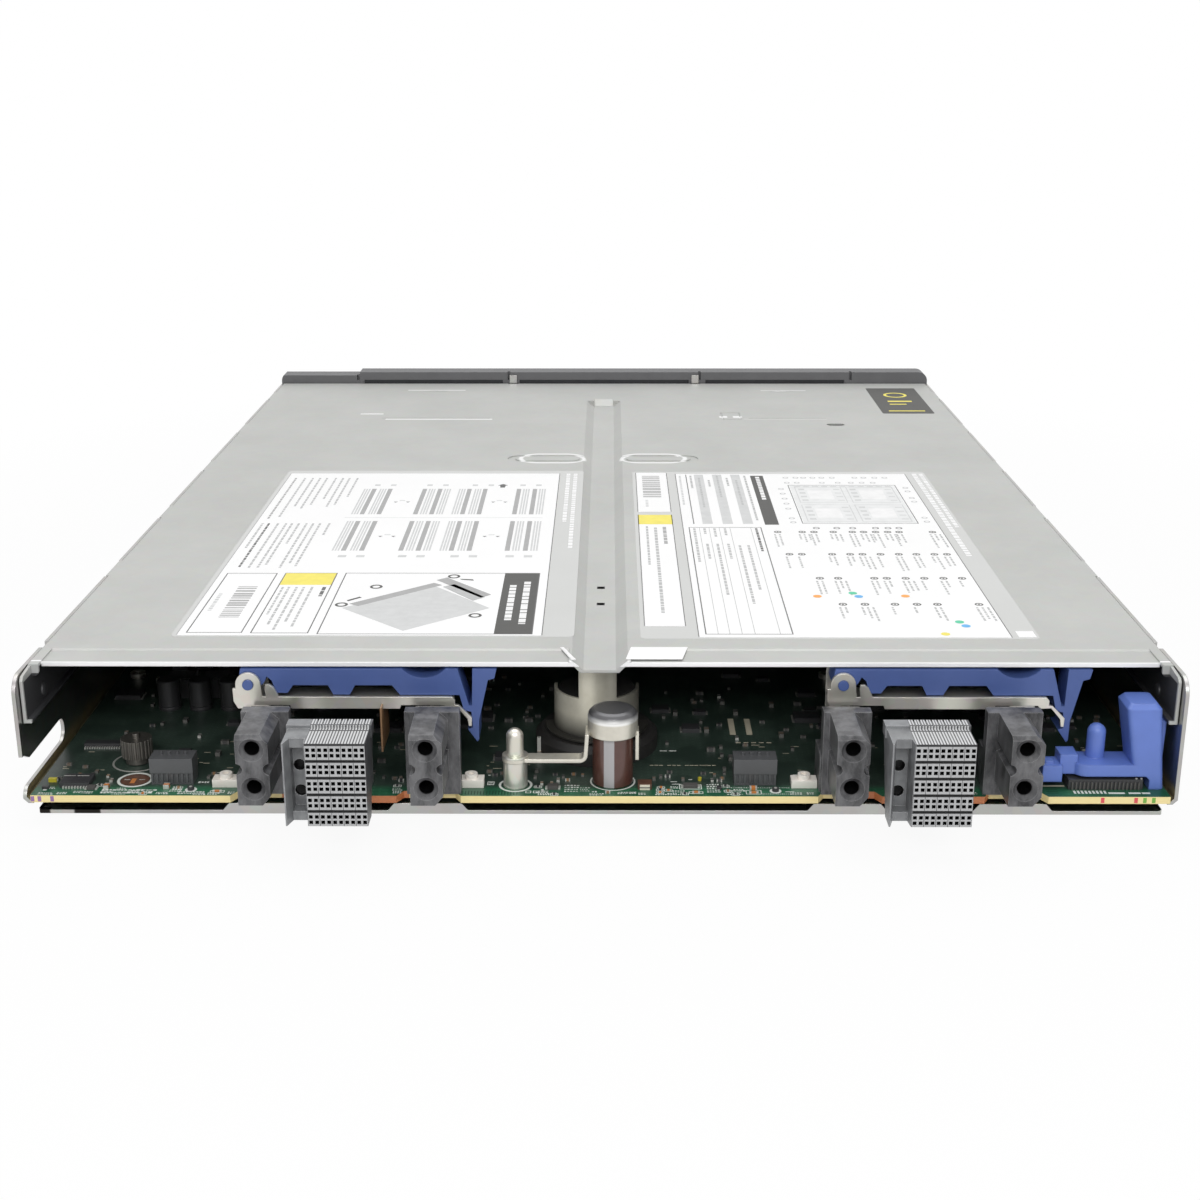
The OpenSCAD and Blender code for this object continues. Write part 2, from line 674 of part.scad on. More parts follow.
// Small-form-factor disk: deck, cover plate, spindle boss and circuit plate
module hard_drive() {
    w = 70.1;
    y0 = carrier_back + 3;
    z0 = carrier_z + 1.2;
    color([0.66, 0.67, 0.68])
    difference() {
        union() {
            translate([0, y0 + 50, z0]) linear_extrude(13.4) round_rect(w, 100, 2);
            translate([0, y0 + 56, z0 + 13.4]) linear_extrude(0.8) difference() {
                round_rect(w - 6, 82, 5);
                translate([8, 6]) circle(r = 12);
            }
            translate([8, y0 + 62, z0 + 13.4]) cylinder(r = 9, h = 0.6);
        }
        block([-w / 2 + 5, y0 + 8, z0 - 1], [w / 2 - 5, y0 + 92, z0 + 1.2]);
        block([-20, y0 - 1, z0 + 1], [20, y0 + 4, z0 + 6]);
    }
}

module at_bay(s) {
    translate([s * bay_x, 0, 0]) children();
}
module drive_carrier_left() { at_bay(-1) drive_carrier(); }
module drive_carrier_right() { at_bay(1) drive_carrier(); }
module drive_handle_left() { at_bay(-1) drive_handle(); }
module drive_handle_right() { at_bay(1) drive_handle(); }
module drive_button_left() { at_bay(-1) drive_button(); }
module drive_button_right() { at_bay(1) drive_button(); }
module hard_drive_left() { at_bay(-1) hard_drive(); }
module hard_drive_right() { at_bay(1) hard_drive(); }

// ---------------------------------------------------------------- system board
sink_front = y_board_front - 10;
sink_back = sink_front - sink_d;
dimm_len = 133.4;
dimm_front = sink_back - 14;
dimm_back = dimm_front - dimm_len;
column_x = [-126, -42, 42, 126];
bank_x = [-126, 126];
screw_places = [for (y = [y_board_front - 5, sink_back - 7, dimm_back - 9], x = [7 - x_board, -84, 0, 84, x_board - 7])
    [x, y]];
power_x = [-105.05, -52.55];
edge_notches = [[-116.7, -96.5], [-64.2, -43.8], [69, 89.2], [121.5, 141.6]];
edge_step = 3.7;
notch_slope = 2;

module system_board() {
    color([0.13, 0.38, 0.25])
    difference() {
        translate([0, 0, z_board - board_t]) linear_extrude(board_t) difference() {
            translate([-x_board, y_board]) square([2 * x_board, y_board_front - y_board]);
            // The rear edge steps back at the power modules
            for (n = edge_notches) translate([0, y_board])
                polygon([[n.x, -1], [n.y, -1], [n.y, 0], [n.y - notch_slope, edge_step],
                    [n.x + notch_slope, edge_step], [n.x, 0]]);
        }
        for (p = screw_places) translate([p.x, p.y, 0]) cylinder(r = 1.6, h = 20);
    }
}

module board_screws() {
    color([0.78, 0.79, 0.8])
    for (p = screw_places) translate([p.x, p.y, 0]) difference() {
        union() {
            translate([0, 0, z_board]) cylinder(r = 2.9, h = 1.8);
            translate([0, 0, z_floor]) cylinder(r = 1.5 - screw_gap, h = z_board - z_floor);
        }
        translate([0, 0, z_board + 0.8]) cylinder(r = 1.1, h = 2);
    }
}

module cpu_sockets() {
    color([0.85, 0.82, 0.72])
    for (x = column_x) translate([x, (sink_front + sink_back) / 2, z_board]) difference() {
        linear_extrude(4) round_rect(52, 52, 2);
        translate([-18, -18, 3]) cube([36, 36, 2]);
    }
}

// Finned heat sink: base plate, a comb of fins and four spring screws
module heat_sink(i) {
    w = 76;
    base = 4.5;
    fin_t = 0.9;
    step = (w - fin_t) / (fin_count - 1);
    h = sink_h;
    z0 = z_board + 4;
    color([0.74, 0.75, 0.77])
    translate([column_x[i], 0, z0]) difference() {
        along_y(sink_back, sink_front) polygon(concat([[-w / 2, 0]],
            [for (k = [0 : fin_count - 1], q = [0 : 3])
                [-w / 2 + k * step + (q > 1 ? fin_t : 0), (q == 1 || q == 2) ? h : base]],
            [[w / 2, 0]]));
        for (sx = [-1, 1], sy = [-1, 1])
            translate([sx * (w / 2 - 8), (sink_front + sink_back) / 2 + sy * (sink_d / 2 - 9), base])
                cylinder(r = 5.4, h = h);
    }
    color([0.8, 0.78, 0.7])
    for (sx = [-1, 1], sy = [-1, 1])
        translate([column_x[i] + sx * (w / 2 - 8), (sink_front + sink_back) / 2 + sy * (sink_d / 2 - 9), z0 + base])
            cylinder(r = 3.6, h = 8);
}
module heat_sink_1() { heat_sink(0); }
module heat_sink_2() { heat_sink(1); }
module heat_sink_3() { heat_sink(2); }
module heat_sink_4() { heat_sink(3); }

function dimm_x(b, i) = bank_x[b] + (i - (dimm_count - 1) / 2) * dimm_pitch;
socket_t = 6;
socket_h = 7;

module memory_sockets() {
    color([0.15, 0.15, 0.16])
    for (b = [0, 1], i = [0 : dimm_count - 1]) translate([dimm_x(b, i), 0, z_board]) difference() {
        union() {
            block([-socket_t / 2, dimm_back, 0], [socket_t / 2, dimm_front, socket_h]);
            for (y = [dimm_back - 3, dimm_front - 3]) block([-socket_t / 2, y, 0], [socket_t / 2, y + 6, 17]);
        }
        block([-0.85, dimm_back + 1, 2], [0.85, dimm_front - 1, 18]);
    }
}

// One bank of memory modules with their chips
module memory_bank(b) {
    color([0.1, 0.34, 0.2])
    for (i = [0 : dimm_count - 1]) translate([dimm_x(b, i), 0, z_board]) union() {
        block([-0.65, dimm_back + 1.4, 2.2], [0.65, dimm_front - 1.4, 2.2 + dimm_h]);
        translate([0, 0, 13]) linear_extrude(12) for (k = [0 : 8])
            translate([-1.9, dimm_back + 9 + 13.2 * k]) square([3.8, 10.4]);
    }
}
module memory_bank_left() { memory_bank(0); }
module memory_bank_right() { memory_bank(1); }

mezz_w = 78;
mezz_front = dimm_front - 30;
mezz_len = 104;
mezz_z = z_board + 14;

// Expansion card on its connector, with a small cooled chip
module mezzanine_card(s) {
    color([0.12, 0.4, 0.28])
    translate([s * 43, 0, 0]) {
        difference() {
            translate([0, mezz_front - mezz_len / 2, mezz_z]) linear_extrude(1.6) round_rect(mezz_w, mezz_len, 2);
            for (sx = [-1, 1], y = [mezz_front - 6, mezz_front - mezz_len + 6])
                translate([sx * (mezz_w / 2 - 6), y, mezz_z - 1]) cylinder(r = 1.7, h = 4);
        }
        along_y(mezz_front - 64, mezz_front - 30) translate([0, mezz_z + 1.6]) polygon(concat([[-17, 0]],
            [for (k = [0 : 11], q = [0 : 3]) [-17 + k * 3 + (q > 1 ? 1 : 0), (q == 1 || q == 2) ? 9 : 2]],
            [[17, 0]]));
    }
}
module mezzanine_card_left() { mezzanine_card(-1); }
module mezzanine_card_right() { mezzanine_card(1); }

module mezzanine_connectors() {
    color([0.2, 0.2, 0.21])
    for (s = [-1, 1]) translate([s * 43, mezz_front - mezz_len + 22, z_board]) difference() {
        translate([-26, -6, 0]) cube([52, 12, mezz_z - z_board]);
        for (k = [0 : 11]) translate([-23 + k * 4, -7, 2]) cube([2, 2, 9]);
    }
}

// ---------------------------------------------------------------- latch levers and brackets
latch_x = -112.2;
latch_z = z_top - 7.3;
lever_top = 4.8;
latch_y = y_panel - 0.8;
ear_t = 1.2;
latch_front = latch_y - ear_t - seat_gap;
bar_x = 65.9;
bar_low = 6.9;
bar_high = 4.1;
lip_low = 8.1;
leg_w = 8;
leg_x = [-3.9, 56.6];

// Ear and bar of the bracket, in X and Z with the pin at the origin
module bracket_face() {
    union() {
        circle(r = 4);
        polygon([[-4.9, -5.6], [-3.6, -lip_low], [-1.6, -lip_low], [-0.5, -bar_low], [13.1, -bar_low],
            [13.5, -lip_low], [48.3, -lip_low], [48.7, -bar_low], [62.4, -bar_low], [63, -lip_low + 0.2],
            [bar_x, -lip_low + 0.3], [bar_x, -5.2], [bar_x - 0.9, -bar_high], [9.6, -bar_high], [8.1, -1],
            [6.8, 0.1], [5.5, 0], [5.3, -1.5], [5.6, -bar_high], [4.4, -bar_high], [4, 0], [-4, 0],
            [-4, -1.3], [-5, -1.3]]);
    }
}

// Folded bracket: front face with ear, flange, rear ear, two legs and the spring tab
module latch_bracket() {
    rear = latch_y + latch_w + seat_gap;
    color([0.8, 0.8, 0.77])
    translate([latch_x, 0, latch_z]) difference() {
        union() {
            along_y(latch_front, latch_front + ear_t) bracket_face();
            block([leg_x[0], latch_front, -bar_low], [bar_x - 1.3, rear + ear_t, -bar_low + ear_t]);
            along_y(rear, rear + ear_t) union() {
                circle(r = 4);
                translate([-4, -bar_low]) square([8, bar_low]);
            }
            for (x = leg_x) {
                block([x, rear, z_board - latch_z], [x + leg_w, rear + ear_t, -bar_low + ear_t]);
                block([x, rear, z_board - latch_z], [x + leg_w, rear + 9, z_board - latch_z + ear_t]);
            }
            along_y(latch_front, latch_front + ear_t)
                polygon([[bar_x - 0.1, -7.8], [66.6, -7.7], [69.8, -11.5], [70.2, -14.1], [71.1, -14.1],
                    [71.2, -11.2], [67.1, -7], [bar_x - 0.1, -6.8]]);
        }
        along_y(latch_front - 1, rear + ear_t + 1) circle(d = latch_pin_d + 2 * pin_gap);
        for (x = leg_x) translate([x + leg_w / 2, rear + 5.4, z_board - latch_z - 1]) cylinder(r = 1.7, h = 4);
    }
}

// Outline of the lever in X and Z with the pin at the origin, ending in a split spring hook
module lever_outline() {
    difference() {
        polygon([[-2.5, lever_top], [-3.4, 0], [-2.4, -2.6], [2.4, -2.6], [5, 0.3], [5.9, 2.2], [7.4, 0.9],
            [8.7, -3.3], [12.3, -3.3], [14.2, -0.7], [25.3, -0.7], [26.9, -3.9], [32.2, -3.9], [34, -0.7],
            [45.8, -0.7], [48.3, -4], [67.3, -4], [68.6, -9.2], [71, -9.8], [71.3, -15.2], [69.7, -15.7],
            [72.7, -20.1], [73.3, -19.3], [73.4, -12.8], [76.5, 1.1], [78.6, 1.7], [79.3, lever_top],
            [71.6, lever_top], [71.2, -7.6], [70.3, -7.6], [66.9, lever_top]]);
        translate([56, lever_top + 6.4]) circle(r = 9.4);
    }
}

module latch_lever() {
    color([0.27, 0.37, 0.62])
    translate([latch_x, 0, latch_z]) difference() {
        union() {
            along_y(latch_y, latch_y + latch_w) lever_outline();
            along_y(latch_front - 0.6, latch_y + latch_w + ear_t + seat_gap) circle(d = latch_pin_d);
        }
        // Coring between the lever's two faces
        for (x = [13, 31]) block([x, latch_y + 2, 0.9], [x + 14, latch_y + latch_w - 2, 6]);
    }
}

module latch_bracket_left() { latch_bracket(); }
module latch_bracket_right() { translate([latch_pitch, 0, 0]) latch_bracket(); }
module latch_lever_left() { latch_lever(); }
module latch_lever_right() { translate([latch_pitch, 0, 0]) latch_lever(); }

// ---------------------------------------------------------------- backplane connectors
signal_w = contact_cols * contact_pitch;
signal_z = z_board + 1.5;
signal_top = signal_z + signal_h;
wafer_gap = 0.16;
pocket_w = 6.8;
hood_d = 18.5;
hood_foot = 7.4;
strip_y = 12;
strip_d = 5;
strip_h = 1;
wafer_d = 36.7;
mouth_d = 4.2;
pocket_d = 8.7;
key_slot_x = [1.7, 6.2];

module at_group(g) {
    translate([g * group_pitch, 0, 0]) children();
}

// Side view of the front housing, in Y and Z: deep at the top, cut back below
module housing_side() {
    polygon([[y_face, signal_z], [y_face + hood_foot, signal_z], [y_face + hood_d, signal_top - 1.4],
        [y_face + hood_d - 0.8, signal_top], [y_face, signal_top]]);
}

// Side view of one contact wafer behind the housing, down to its feet on the board
module wafer_side() {
    polygon([[y_face + hood_foot - 0.4, signal_z], [y_board + 1, signal_z], [y_board + 1, z_board],
        [y_face + wafer_d, z_board], [y_face + wafer_d, signal_top - 9.9], [y_face + hood_d - 0.9, signal_top - 2.9]]);
}

// Housing with its contact field and guide pocket, in front of ten contact wafers
module signal_connector() {
    x0 = signal_x - signal_w / 2;
    xp = x0 - pocket_w;
    color([0.66, 0.68, 0.70])
    difference() {
        union() {
            along_x(xp, x0 + signal_w) housing_side();
            // Raised strip across the top
            block([xp - 0.5, y_face + strip_y, signal_top - 3], [x0 + signal_w + 0.5, y_face + strip_y + strip_d,
                signal_top + strip_h]);
            along_x(x0 + wafer_gap, x0 + signal_w - 3.2) wafer_side();
        }
        // Contact openings, a groove between the pairs and a seam after every other column
        for (i = [0 : contact_cols - 1], j = [0 : contact_pairs - 1], k = [-1, 1])
            translate([x0 + (i + 0.5) * contact_pitch - contact_hole / 2, y_face - 1,
                signal_z + 2.15 + j * pair_pitch + k * row_pitch / 2 - contact_hole / 2])
                cube([contact_hole, contact_depth + 1, contact_hole]);
        for (j = [1 : contact_pairs - 1])
            block([x0 + 0.3, y_face - 1, signal_z + 2.15 + (j - 0.5) * pair_pitch - 0.3],
                [x0 + signal_w - 0.3, y_face + 0.5, signal_z + 2.15 + (j - 0.5) * pair_pitch + 0.3]);
        // Ribs over the contact columns
        for (i = [1 : contact_cols - 1])
            block([x0 + i * contact_pitch - 0.25, y_face + strip_y - 1, signal_top + strip_h - 0.6],
                [x0 + i * contact_pitch + 0.25, y_face + strip_y + strip_d + 1, signal_top + strip_h + 1]);
        // Gaps between the wafers behind the housing
        for (i = [1 : contact_cols - 3])
            block([x0 + i * contact_pitch - wafer_gap, y_face + hood_d, z_board - 1],
                [x0 + i * contact_pitch + wafer_gap, y_face + wafer_d - 2, signal_top - 1]);
        // Flared mouth of the guide pocket, open through roof and floor, and its slot
        translate([xp, y_face, signal_z - 1]) linear_extrude(signal_h + 2)
            polygon([[0.4, -1], [pocket_w - 0.1, -1], [pocket_w - 0.1, 0], [key_slot_x[1], mouth_d],
                [key_slot_x[0], mouth_d], [0.4, 0]]);
        block([xp + key_slot_x[0], y_face + mouth_d - 1, signal_z + 3],
            [xp + key_slot_x[1], y_face + pocket_d, signal_top - 3]);
        for (z = [signal_z + 8, signal_z + 16.4]) bar_y(xp + pocket_w - 3.2, z, 1.85, y_face, y_face + pocket_d + 3);
    }
}
module signal_connector_left() { at_group(0) signal_connector(); }
module signal_connector_right() { at_group(1) signal_connector(); }

power_z = z_board + 17.05;
power_face = y_face + 6.7;
power_plate_y = y_board + 1.4;
power_plate_t = 4.3;
power_plate_x = [[-6.8, 8.1], [-8.3, 8.8]];
sink_cone_d = 7.6;
sink_cone_h = 1.5;

// Nose outline of a power module, about the middle of its two sockets
module power_nose() {
    difference() {
        polygon([[-4.9, -11.9], [2.6, -11.9], [5.1, -8.9], [5.1, 8.4], [2.5, 10.9], [-4.9, 10.9]]);
        for (x = [-4.9, 5.1]) translate([x, 0]) circle(r = 1.8);
    }
}

// Power module: nose with two countersunk sockets, face plate and body on the board
module power_module(i) {
    color([0.30, 0.31, 0.32])
    translate([power_x[i], 0, 0]) difference() {
        union() {
            difference() {
                along_y(power_face, y_board + edge_step + 1) translate([0, power_z]) power_nose();
                // Small bevel on the upper front edge
                along_x(-8, 8) polygon([[power_face - 1, power_z + 8.7], [power_face + 2.4, power_z + 12],
                    [power_face - 1, power_z + 12]]);
            }
            block([power_plate_x[i].x, power_plate_y, z_board],
                [power_plate_x[i].y, power_plate_y + power_plate_t, power_z + 10.9]);
            block([-6, y_board + edge_step, z_board], [6, y_board + edge_step + 10, power_z + 8]);
            block([-7.2, y_board + edge_step, z_board], [7.2, y_board + edge_step + 13, z_board + 12.5]);
        }
        for (v = [-1, 1]) translate([0, power_face, power_z + v * socket_pitch / 2]) rotate([-90, 0, 0]) {
            cylinder(d = socket_d, h = socket_depth);
            cylinder(d1 = sink_cone_d, d2 = socket_d, h = sink_cone_h);
            translate([0, 0, -1]) cylinder(d = sink_cone_d, h = 1);
        }
    }
}
module power_sockets_left() { at_group(0) for (i = [0, 1]) power_module(i); }
module power_sockets_right() { at_group(1) for (i = [0, 1]) power_module(i); }

// ---------------------------------------------------------------- small parts at the rear
post_x = -26.9;
post_y = y_panel - 9.6;
can_x = 4.2;
can_y = y_panel - 6.6;
can_r = 6.5;
can_h = 21.4;
arm_z = z_board + 8.8;
neck_r = 3.2;
flange_r = 4.1;

module guide_post() {
    color([0.75, 0.76, 0.76])
    translate([post_x, post_y, z_board]) rotate_extrude() union() {
        square([3.85, arm_z - z_board - screw_gap]);
        square([neck_r, 10.3]);
        translate([0, arm_z - z_board + ear_t + screw_gap]) square([flange_r, 0.7]);
        square([2.75, 17]);
        intersection() {
            translate([0, 17]) circle(r = 2.75);
            translate([0, 16]) square([3, 4]);
        }
    }
}

module capacitor() {
    color([0.33, 0.16, 0.12])
    translate([can_x, can_y, z_board]) rotate_extrude()
        polygon([[0, 0], [can_r - 0.5, 0], [can_r, 0.6], [can_r, can_h - 0.8], [can_r - 0.8, can_h], [0, can_h]]);
}

// Sheet clip: ring on the post, arm bent up into an upright, and the cup over the capacitor
module capacitor_clip() {
    cup_r = can_r + 1.5;
    cup_low = 17.3;
    xu = can_x - cup_r;
    bend = 2.6;
    color([0.78, 0.78, 0.74])
    difference() {
        union() {
            translate([post_x, post_y, arm_z]) cylinder(r = flange_r, h = ear_t);
            along_y(post_y - 2.6, post_y + 2.6) translate([0, arm_z]) polygon(concat(
                [[post_x + 2, 0]],
                [for (k = [0 : 6]) [xu - bend + bend * sin(15 * k), bend - bend * cos(15 * k)]],
                [[xu + 0.5, 9.6], [xu - 0.7, 9.6]],
                [for (k = [6 : -1 : 0]) [xu - bend + (bend - ear_t) * sin(15 * k), bend - (bend - ear_t) * cos(15 * k)]],
                [[post_x + 2, ear_t]]));
            block([xu - 0.7, can_y - 2.4, z_board + cup_low], [xu + 1.6, can_y + 2.4, z_board + cup_low + 1.1]);
            block([can_x + can_r + 0.7, can_y - 2.4, z_board + 8.5],
                [can_x + can_r + 1.8, can_y + 2.4, z_board + cup_low + 1]);
            translate([can_x, can_y, z_board]) rotate_extrude()
                polygon([[0, cup_low], [cup_r, cup_low], [cup_r, 23.2], [cup_r - 0.4, 24.3], [cup_r - 1.2, 25.1],
                    [cup_r - 2.4, 25.5], [0, 25.5]]);
        }
        translate([can_x, can_y, z_board + 13]) cylinder(r = can_r + 0.2, h = can_h + 0.4 - 13);
        translate([post_x, post_y, z_board]) cylinder(r = neck_r + screw_gap, h = 20);
    }
}

drum_x = -1.2;
drum_y = y_panel + 24.8;
drum_r = 12.9;
drum_base_h = 6.6;
drum_h = 21;
shield_r = drum_r + seat_gap + 1;
shield_shoulder = 21.2;

// Sheet shield round the drum's front, with a strip up to the panel's channel and a flared foot
module centre_bracket() {
    top = z_top - channel_depth - seat_gap - z_board;
    z0 = drum_base_h + seat_gap;
    color([0.76, 0.76, 0.72])
    translate([drum_x, drum_y, z_board]) {
        difference() {
            union() {
                translate([0, 0, z0]) cylinder(r = shield_r, h = top - z0);
                translate([0, 0, z0]) cylinder(r = shield_r + 3, h = 0.8);
            }
            translate([0, 0, z0 - 1]) cylinder(r = shield_r - 1, h = top);
            translate([-20, 2, 0]) cube([40, 20, 40]);
            translate([-20, -20, shield_shoulder]) cube([14.2, 30, 20]);
            translate([6.7, -20, shield_shoulder]) cube([14, 30, 20]);
        }
        block([-5.8, 0.4 - shield_r * 0.87, top - ear_t], [6.7, -3, top]);
    }
}

// Round choke on its moulded base, wound core hidden in the drum
module filter_choke() {
    color([0.1, 0.1, 0.11])
    translate([drum_x, drum_y, z_board]) rotate_extrude()
        polygon([[0, 0], [20.5, 0], [20.5, 4.6], [18.6, drum_base_h], [drum_r, drum_base_h], [drum_r, drum_h - 0.8],
            [drum_r - 0.8, drum_h], [3, drum_h], [3, drum_h - 3], [0, drum_h - 3]]);
}

// Blue moulding at the right corner: tall leaning block, arm with a peg, and two catch blocks
module board_handle() {
    y0 = y_panel - 12.4;
    depth = 13;
    tall = 28.7;
    color([0.35, 0.47, 0.82])
    translate([x_board, y0, z_board]) {
        difference() {
            hull() {
                linear_extrude(0.2) translate([-5.1, depth / 2]) round_rect(9, depth, 1.6);
                translate([0, 0, tall - 1.8]) linear_extrude(0.2) translate([-8.8, depth / 2]) round_rect(11, depth, 1.6);
                translate([0, 0, tall - 0.2]) linear_extrude(0.2) translate([-8.8, depth / 2])
                    round_rect(8.4, depth - 2.6, 1.4);
            }
            along_y(-1, depth + 1) polygon([[-16, -1], [-5.4, -1], [-5.4, 3.2], [-6.6, 4.4], [-16, 4.4]]);
        }
        // Side strip behind the block's right edge
        along_y(5, depth) polygon([[-4, 0], [-0.6, 0], [-0.2, 21.6], [-4, 21.6]]);
        // Arm with a round left end, and the peg on it
        translate([0, 0, 4.4]) linear_extrude(3.9) union() {
            translate([-25, 0]) square([16, 11.4]);
            translate([-29.2, 4.2]) square([6, 7.2]);
            intersection() {
                translate([-25, 4.2]) circle(r = 4.2);
                translate([-30, -1]) square([6, 6]);
            }
        }
        translate([-21.2, 8.1, 8]) rotate_extrude() union() {
            square([2.9, 8.6]);
            intersection() {
                translate([0, 8.6]) circle(r = 2.9);
                translate([0, 8]) square([3, 4]);
            }
        }
        block([-33.6, 2.4, 4.3], [-28, 9.4, 10.9]);
        block([-39.3, 0.6, 2.3], [-33, 8.4, 7.8]);
        block([-38.2, 2.6, 7.6], [-35.4, 5.6, 8.7]);
    }
}

screw_x = -152.6;
screw_y = y_panel + 8.5;
knurl_r = 5.1;

// Knurled thumbscrew that turns in the board's insert
module thumbscrew() {
    color([0.45, 0.46, 0.47])
    translate([screw_x, screw_y, z_board + seat_gap]) union() {
        cylinder(r = 3.9, h = 2.2);
        translate([0, 0, 2.2]) linear_extrude(6.2) difference() {
            circle(r = knurl_r);
            for (i = [0 : 23]) rotate(15 * i) translate([knurl_r + 0.1, 0]) circle(r = 0.42, $fn = 16);
        }
        translate([0, 0, 8.4]) cylinder(r = 1.2, h = 1.6);
    }
}

// Pin headers: ribbed lower body, plain shroud and four pin tips
module board_headers() {
    color([0.12, 0.12, 0.13])
    for (x = [-143.6, 43]) translate([x, y_panel - 9.6, z_board]) difference() {
        union() {
            cube([13.4, 7, 4.2]);
            translate([-0.2, -0.4, 4]) cube([13.8, 7.4, 5]);
            for (k = [0 : 3]) translate([2.6 + 2.6 * k, 3.4, 8.9]) cube([0.7, 0.7, 1.1]);
        }
        for (k = [0 : 7]) translate([0.7 + 1.6 * k, -1, 0.6]) cube([0.8, 1.5, 3]);
    }
}

block_x = [-119.5, -41, 65.2];

// Clamp blocks with their screws beside the power modules
module mount_blocks() {
    color([0.85, 0.85, 0.84])
    for (x = block_x) translate([x, y_panel - 9.6, z_board]) difference() {
        union() {
            translate([-4.1, -2.3, 0]) cube([8.2, 4.6, 2.6]);
            translate([0, 0, 2.6]) cylinder(r = 2, h = 1.6);
        }
        translate([0, 0, 3.2]) cylinder(r = 1, h = 2);
    }
}

module battery() {
    color([0.8, 0.81, 0.8])
    translate([0, dimm_front - 12, z_board]) {
        difference() {
            cylinder(r = 11.6, h = 4.6);
            translate([0, 0, 1.2]) cylinder(r = 10.2, h = 5);
        }
        translate([0, 0, 1.2]) cylinder(r = 10, h = 3.2);
    }
}

// Power stages between the memory and the rear connectors
module regulator_chokes() {
    color([0.32, 0.33, 0.35])
    for (s = [-1, 1], i = [0 : 4]) translate([s * 126 + (i - 2) * 13, dimm_back - 26, z_board]) union() {
        linear_extrude(7) round_rect(10.4, 10.4, 1.4);
        translate([0, 0, 7]) linear_extrude(0.4) round_rect(8, 8, 1);
    }
}

module bulk_capacitors() {
    color([0.7, 0.71, 0.74])
    for (s = [-1, 1], i = [0 : 5]) translate([s * 126 + (i - 2.5) * 11, dimm_back - 40, z_board])
        rotate_extrude() polygon([[0, 0], [4, 0], [4, 1], [3.7, 1.3], [4, 1.6], [4, 10.6], [3.6, 11], [0, 11]]);
}

base_pan();
front_bulkhead();
access_panel();
panel_rivets();
front_bezel();
bezel_screws();
airflow_grille();
release_lever_left();
release_lever_right();
release_pins();
release_button_left();
release_button_right();
power_button();
status_lenses();
service_port();
pull_tab();
drive_cage();
drive_backplane();
drive_carrier_left();
drive_carrier_right();
hard_drive_left();
hard_drive_right();
drive_handle_left();
drive_handle_right();
drive_button_left();
drive_button_right();
system_board();
board_screws();
cpu_sockets();
heat_sink_1();
heat_sink_2();
heat_sink_3();
heat_sink_4();
memory_sockets();
memory_bank_left();
memory_bank_right();
mezzanine_card_left();
mezzanine_card_right();
mezzanine_connectors();
latch_bracket_left();
latch_bracket_right();
latch_lever_left();
latch_lever_right();
signal_connector_left();
signal_connector_right();
power_sockets_left();
power_sockets_right();
guide_post();
capacitor();
capacitor_clip();
centre_bracket();
filter_choke();
board_handle();
thumbscrew();
board_headers();
mount_blocks();
battery();
regulator_chokes();
bulk_capacitors();
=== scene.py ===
"""Looks of the blade server: materials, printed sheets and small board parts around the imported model."""
import json
import math
import random

import bmesh
import bpy
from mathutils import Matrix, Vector

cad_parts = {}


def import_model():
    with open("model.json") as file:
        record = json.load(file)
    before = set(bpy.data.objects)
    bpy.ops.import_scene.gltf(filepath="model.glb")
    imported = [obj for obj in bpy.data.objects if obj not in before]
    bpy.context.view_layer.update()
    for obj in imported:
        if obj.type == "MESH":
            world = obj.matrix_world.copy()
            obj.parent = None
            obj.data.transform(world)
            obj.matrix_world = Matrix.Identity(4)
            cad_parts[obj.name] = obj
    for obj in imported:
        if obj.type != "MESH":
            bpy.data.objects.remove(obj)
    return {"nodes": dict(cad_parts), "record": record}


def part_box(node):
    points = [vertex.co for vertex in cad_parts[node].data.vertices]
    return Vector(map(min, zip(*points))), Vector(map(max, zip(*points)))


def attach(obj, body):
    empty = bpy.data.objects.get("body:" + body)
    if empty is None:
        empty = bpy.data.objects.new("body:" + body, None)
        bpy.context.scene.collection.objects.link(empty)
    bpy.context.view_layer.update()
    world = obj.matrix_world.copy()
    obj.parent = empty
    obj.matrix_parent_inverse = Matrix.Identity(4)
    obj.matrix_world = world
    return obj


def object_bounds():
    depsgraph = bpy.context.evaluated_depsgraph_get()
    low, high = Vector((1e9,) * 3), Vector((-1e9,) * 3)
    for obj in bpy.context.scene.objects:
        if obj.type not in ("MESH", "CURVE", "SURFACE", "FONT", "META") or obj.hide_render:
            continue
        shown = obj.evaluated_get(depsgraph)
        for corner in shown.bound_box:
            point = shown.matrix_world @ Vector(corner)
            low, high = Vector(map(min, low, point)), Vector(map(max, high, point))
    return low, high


MM = 0.001
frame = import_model()
cad_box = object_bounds()
nodes = frame["nodes"]


# ---- places in the frame, in millimetres
def corners(node):
    """Lowest and highest corner of a CAD node in millimetres."""
    low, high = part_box(node)
    return [v / MM for v in low], [v / MM for v in high]


PANEL_LOW, PANEL_HIGH = corners("access_panel")
BOARD_LOW, BOARD_HIGH = corners("system_board")
PANEL_TOP = PANEL_HIGH[2]
BOARD_TOP = BOARD_HIGH[2]
BOARD_REAR = BOARD_LOW[1]
PANEL_REAR = BOARD_REAR + 18.0  # the panel's top ends this far ahead of the board's rear edge
CAD_REAR = cad_box[0][1] / MM
CAN_AXIS = [(a + b) / 2 for a, b in zip(*corners("capacitor"))][:2]
SIGHT_HOLES = (-130.3, -149.1)
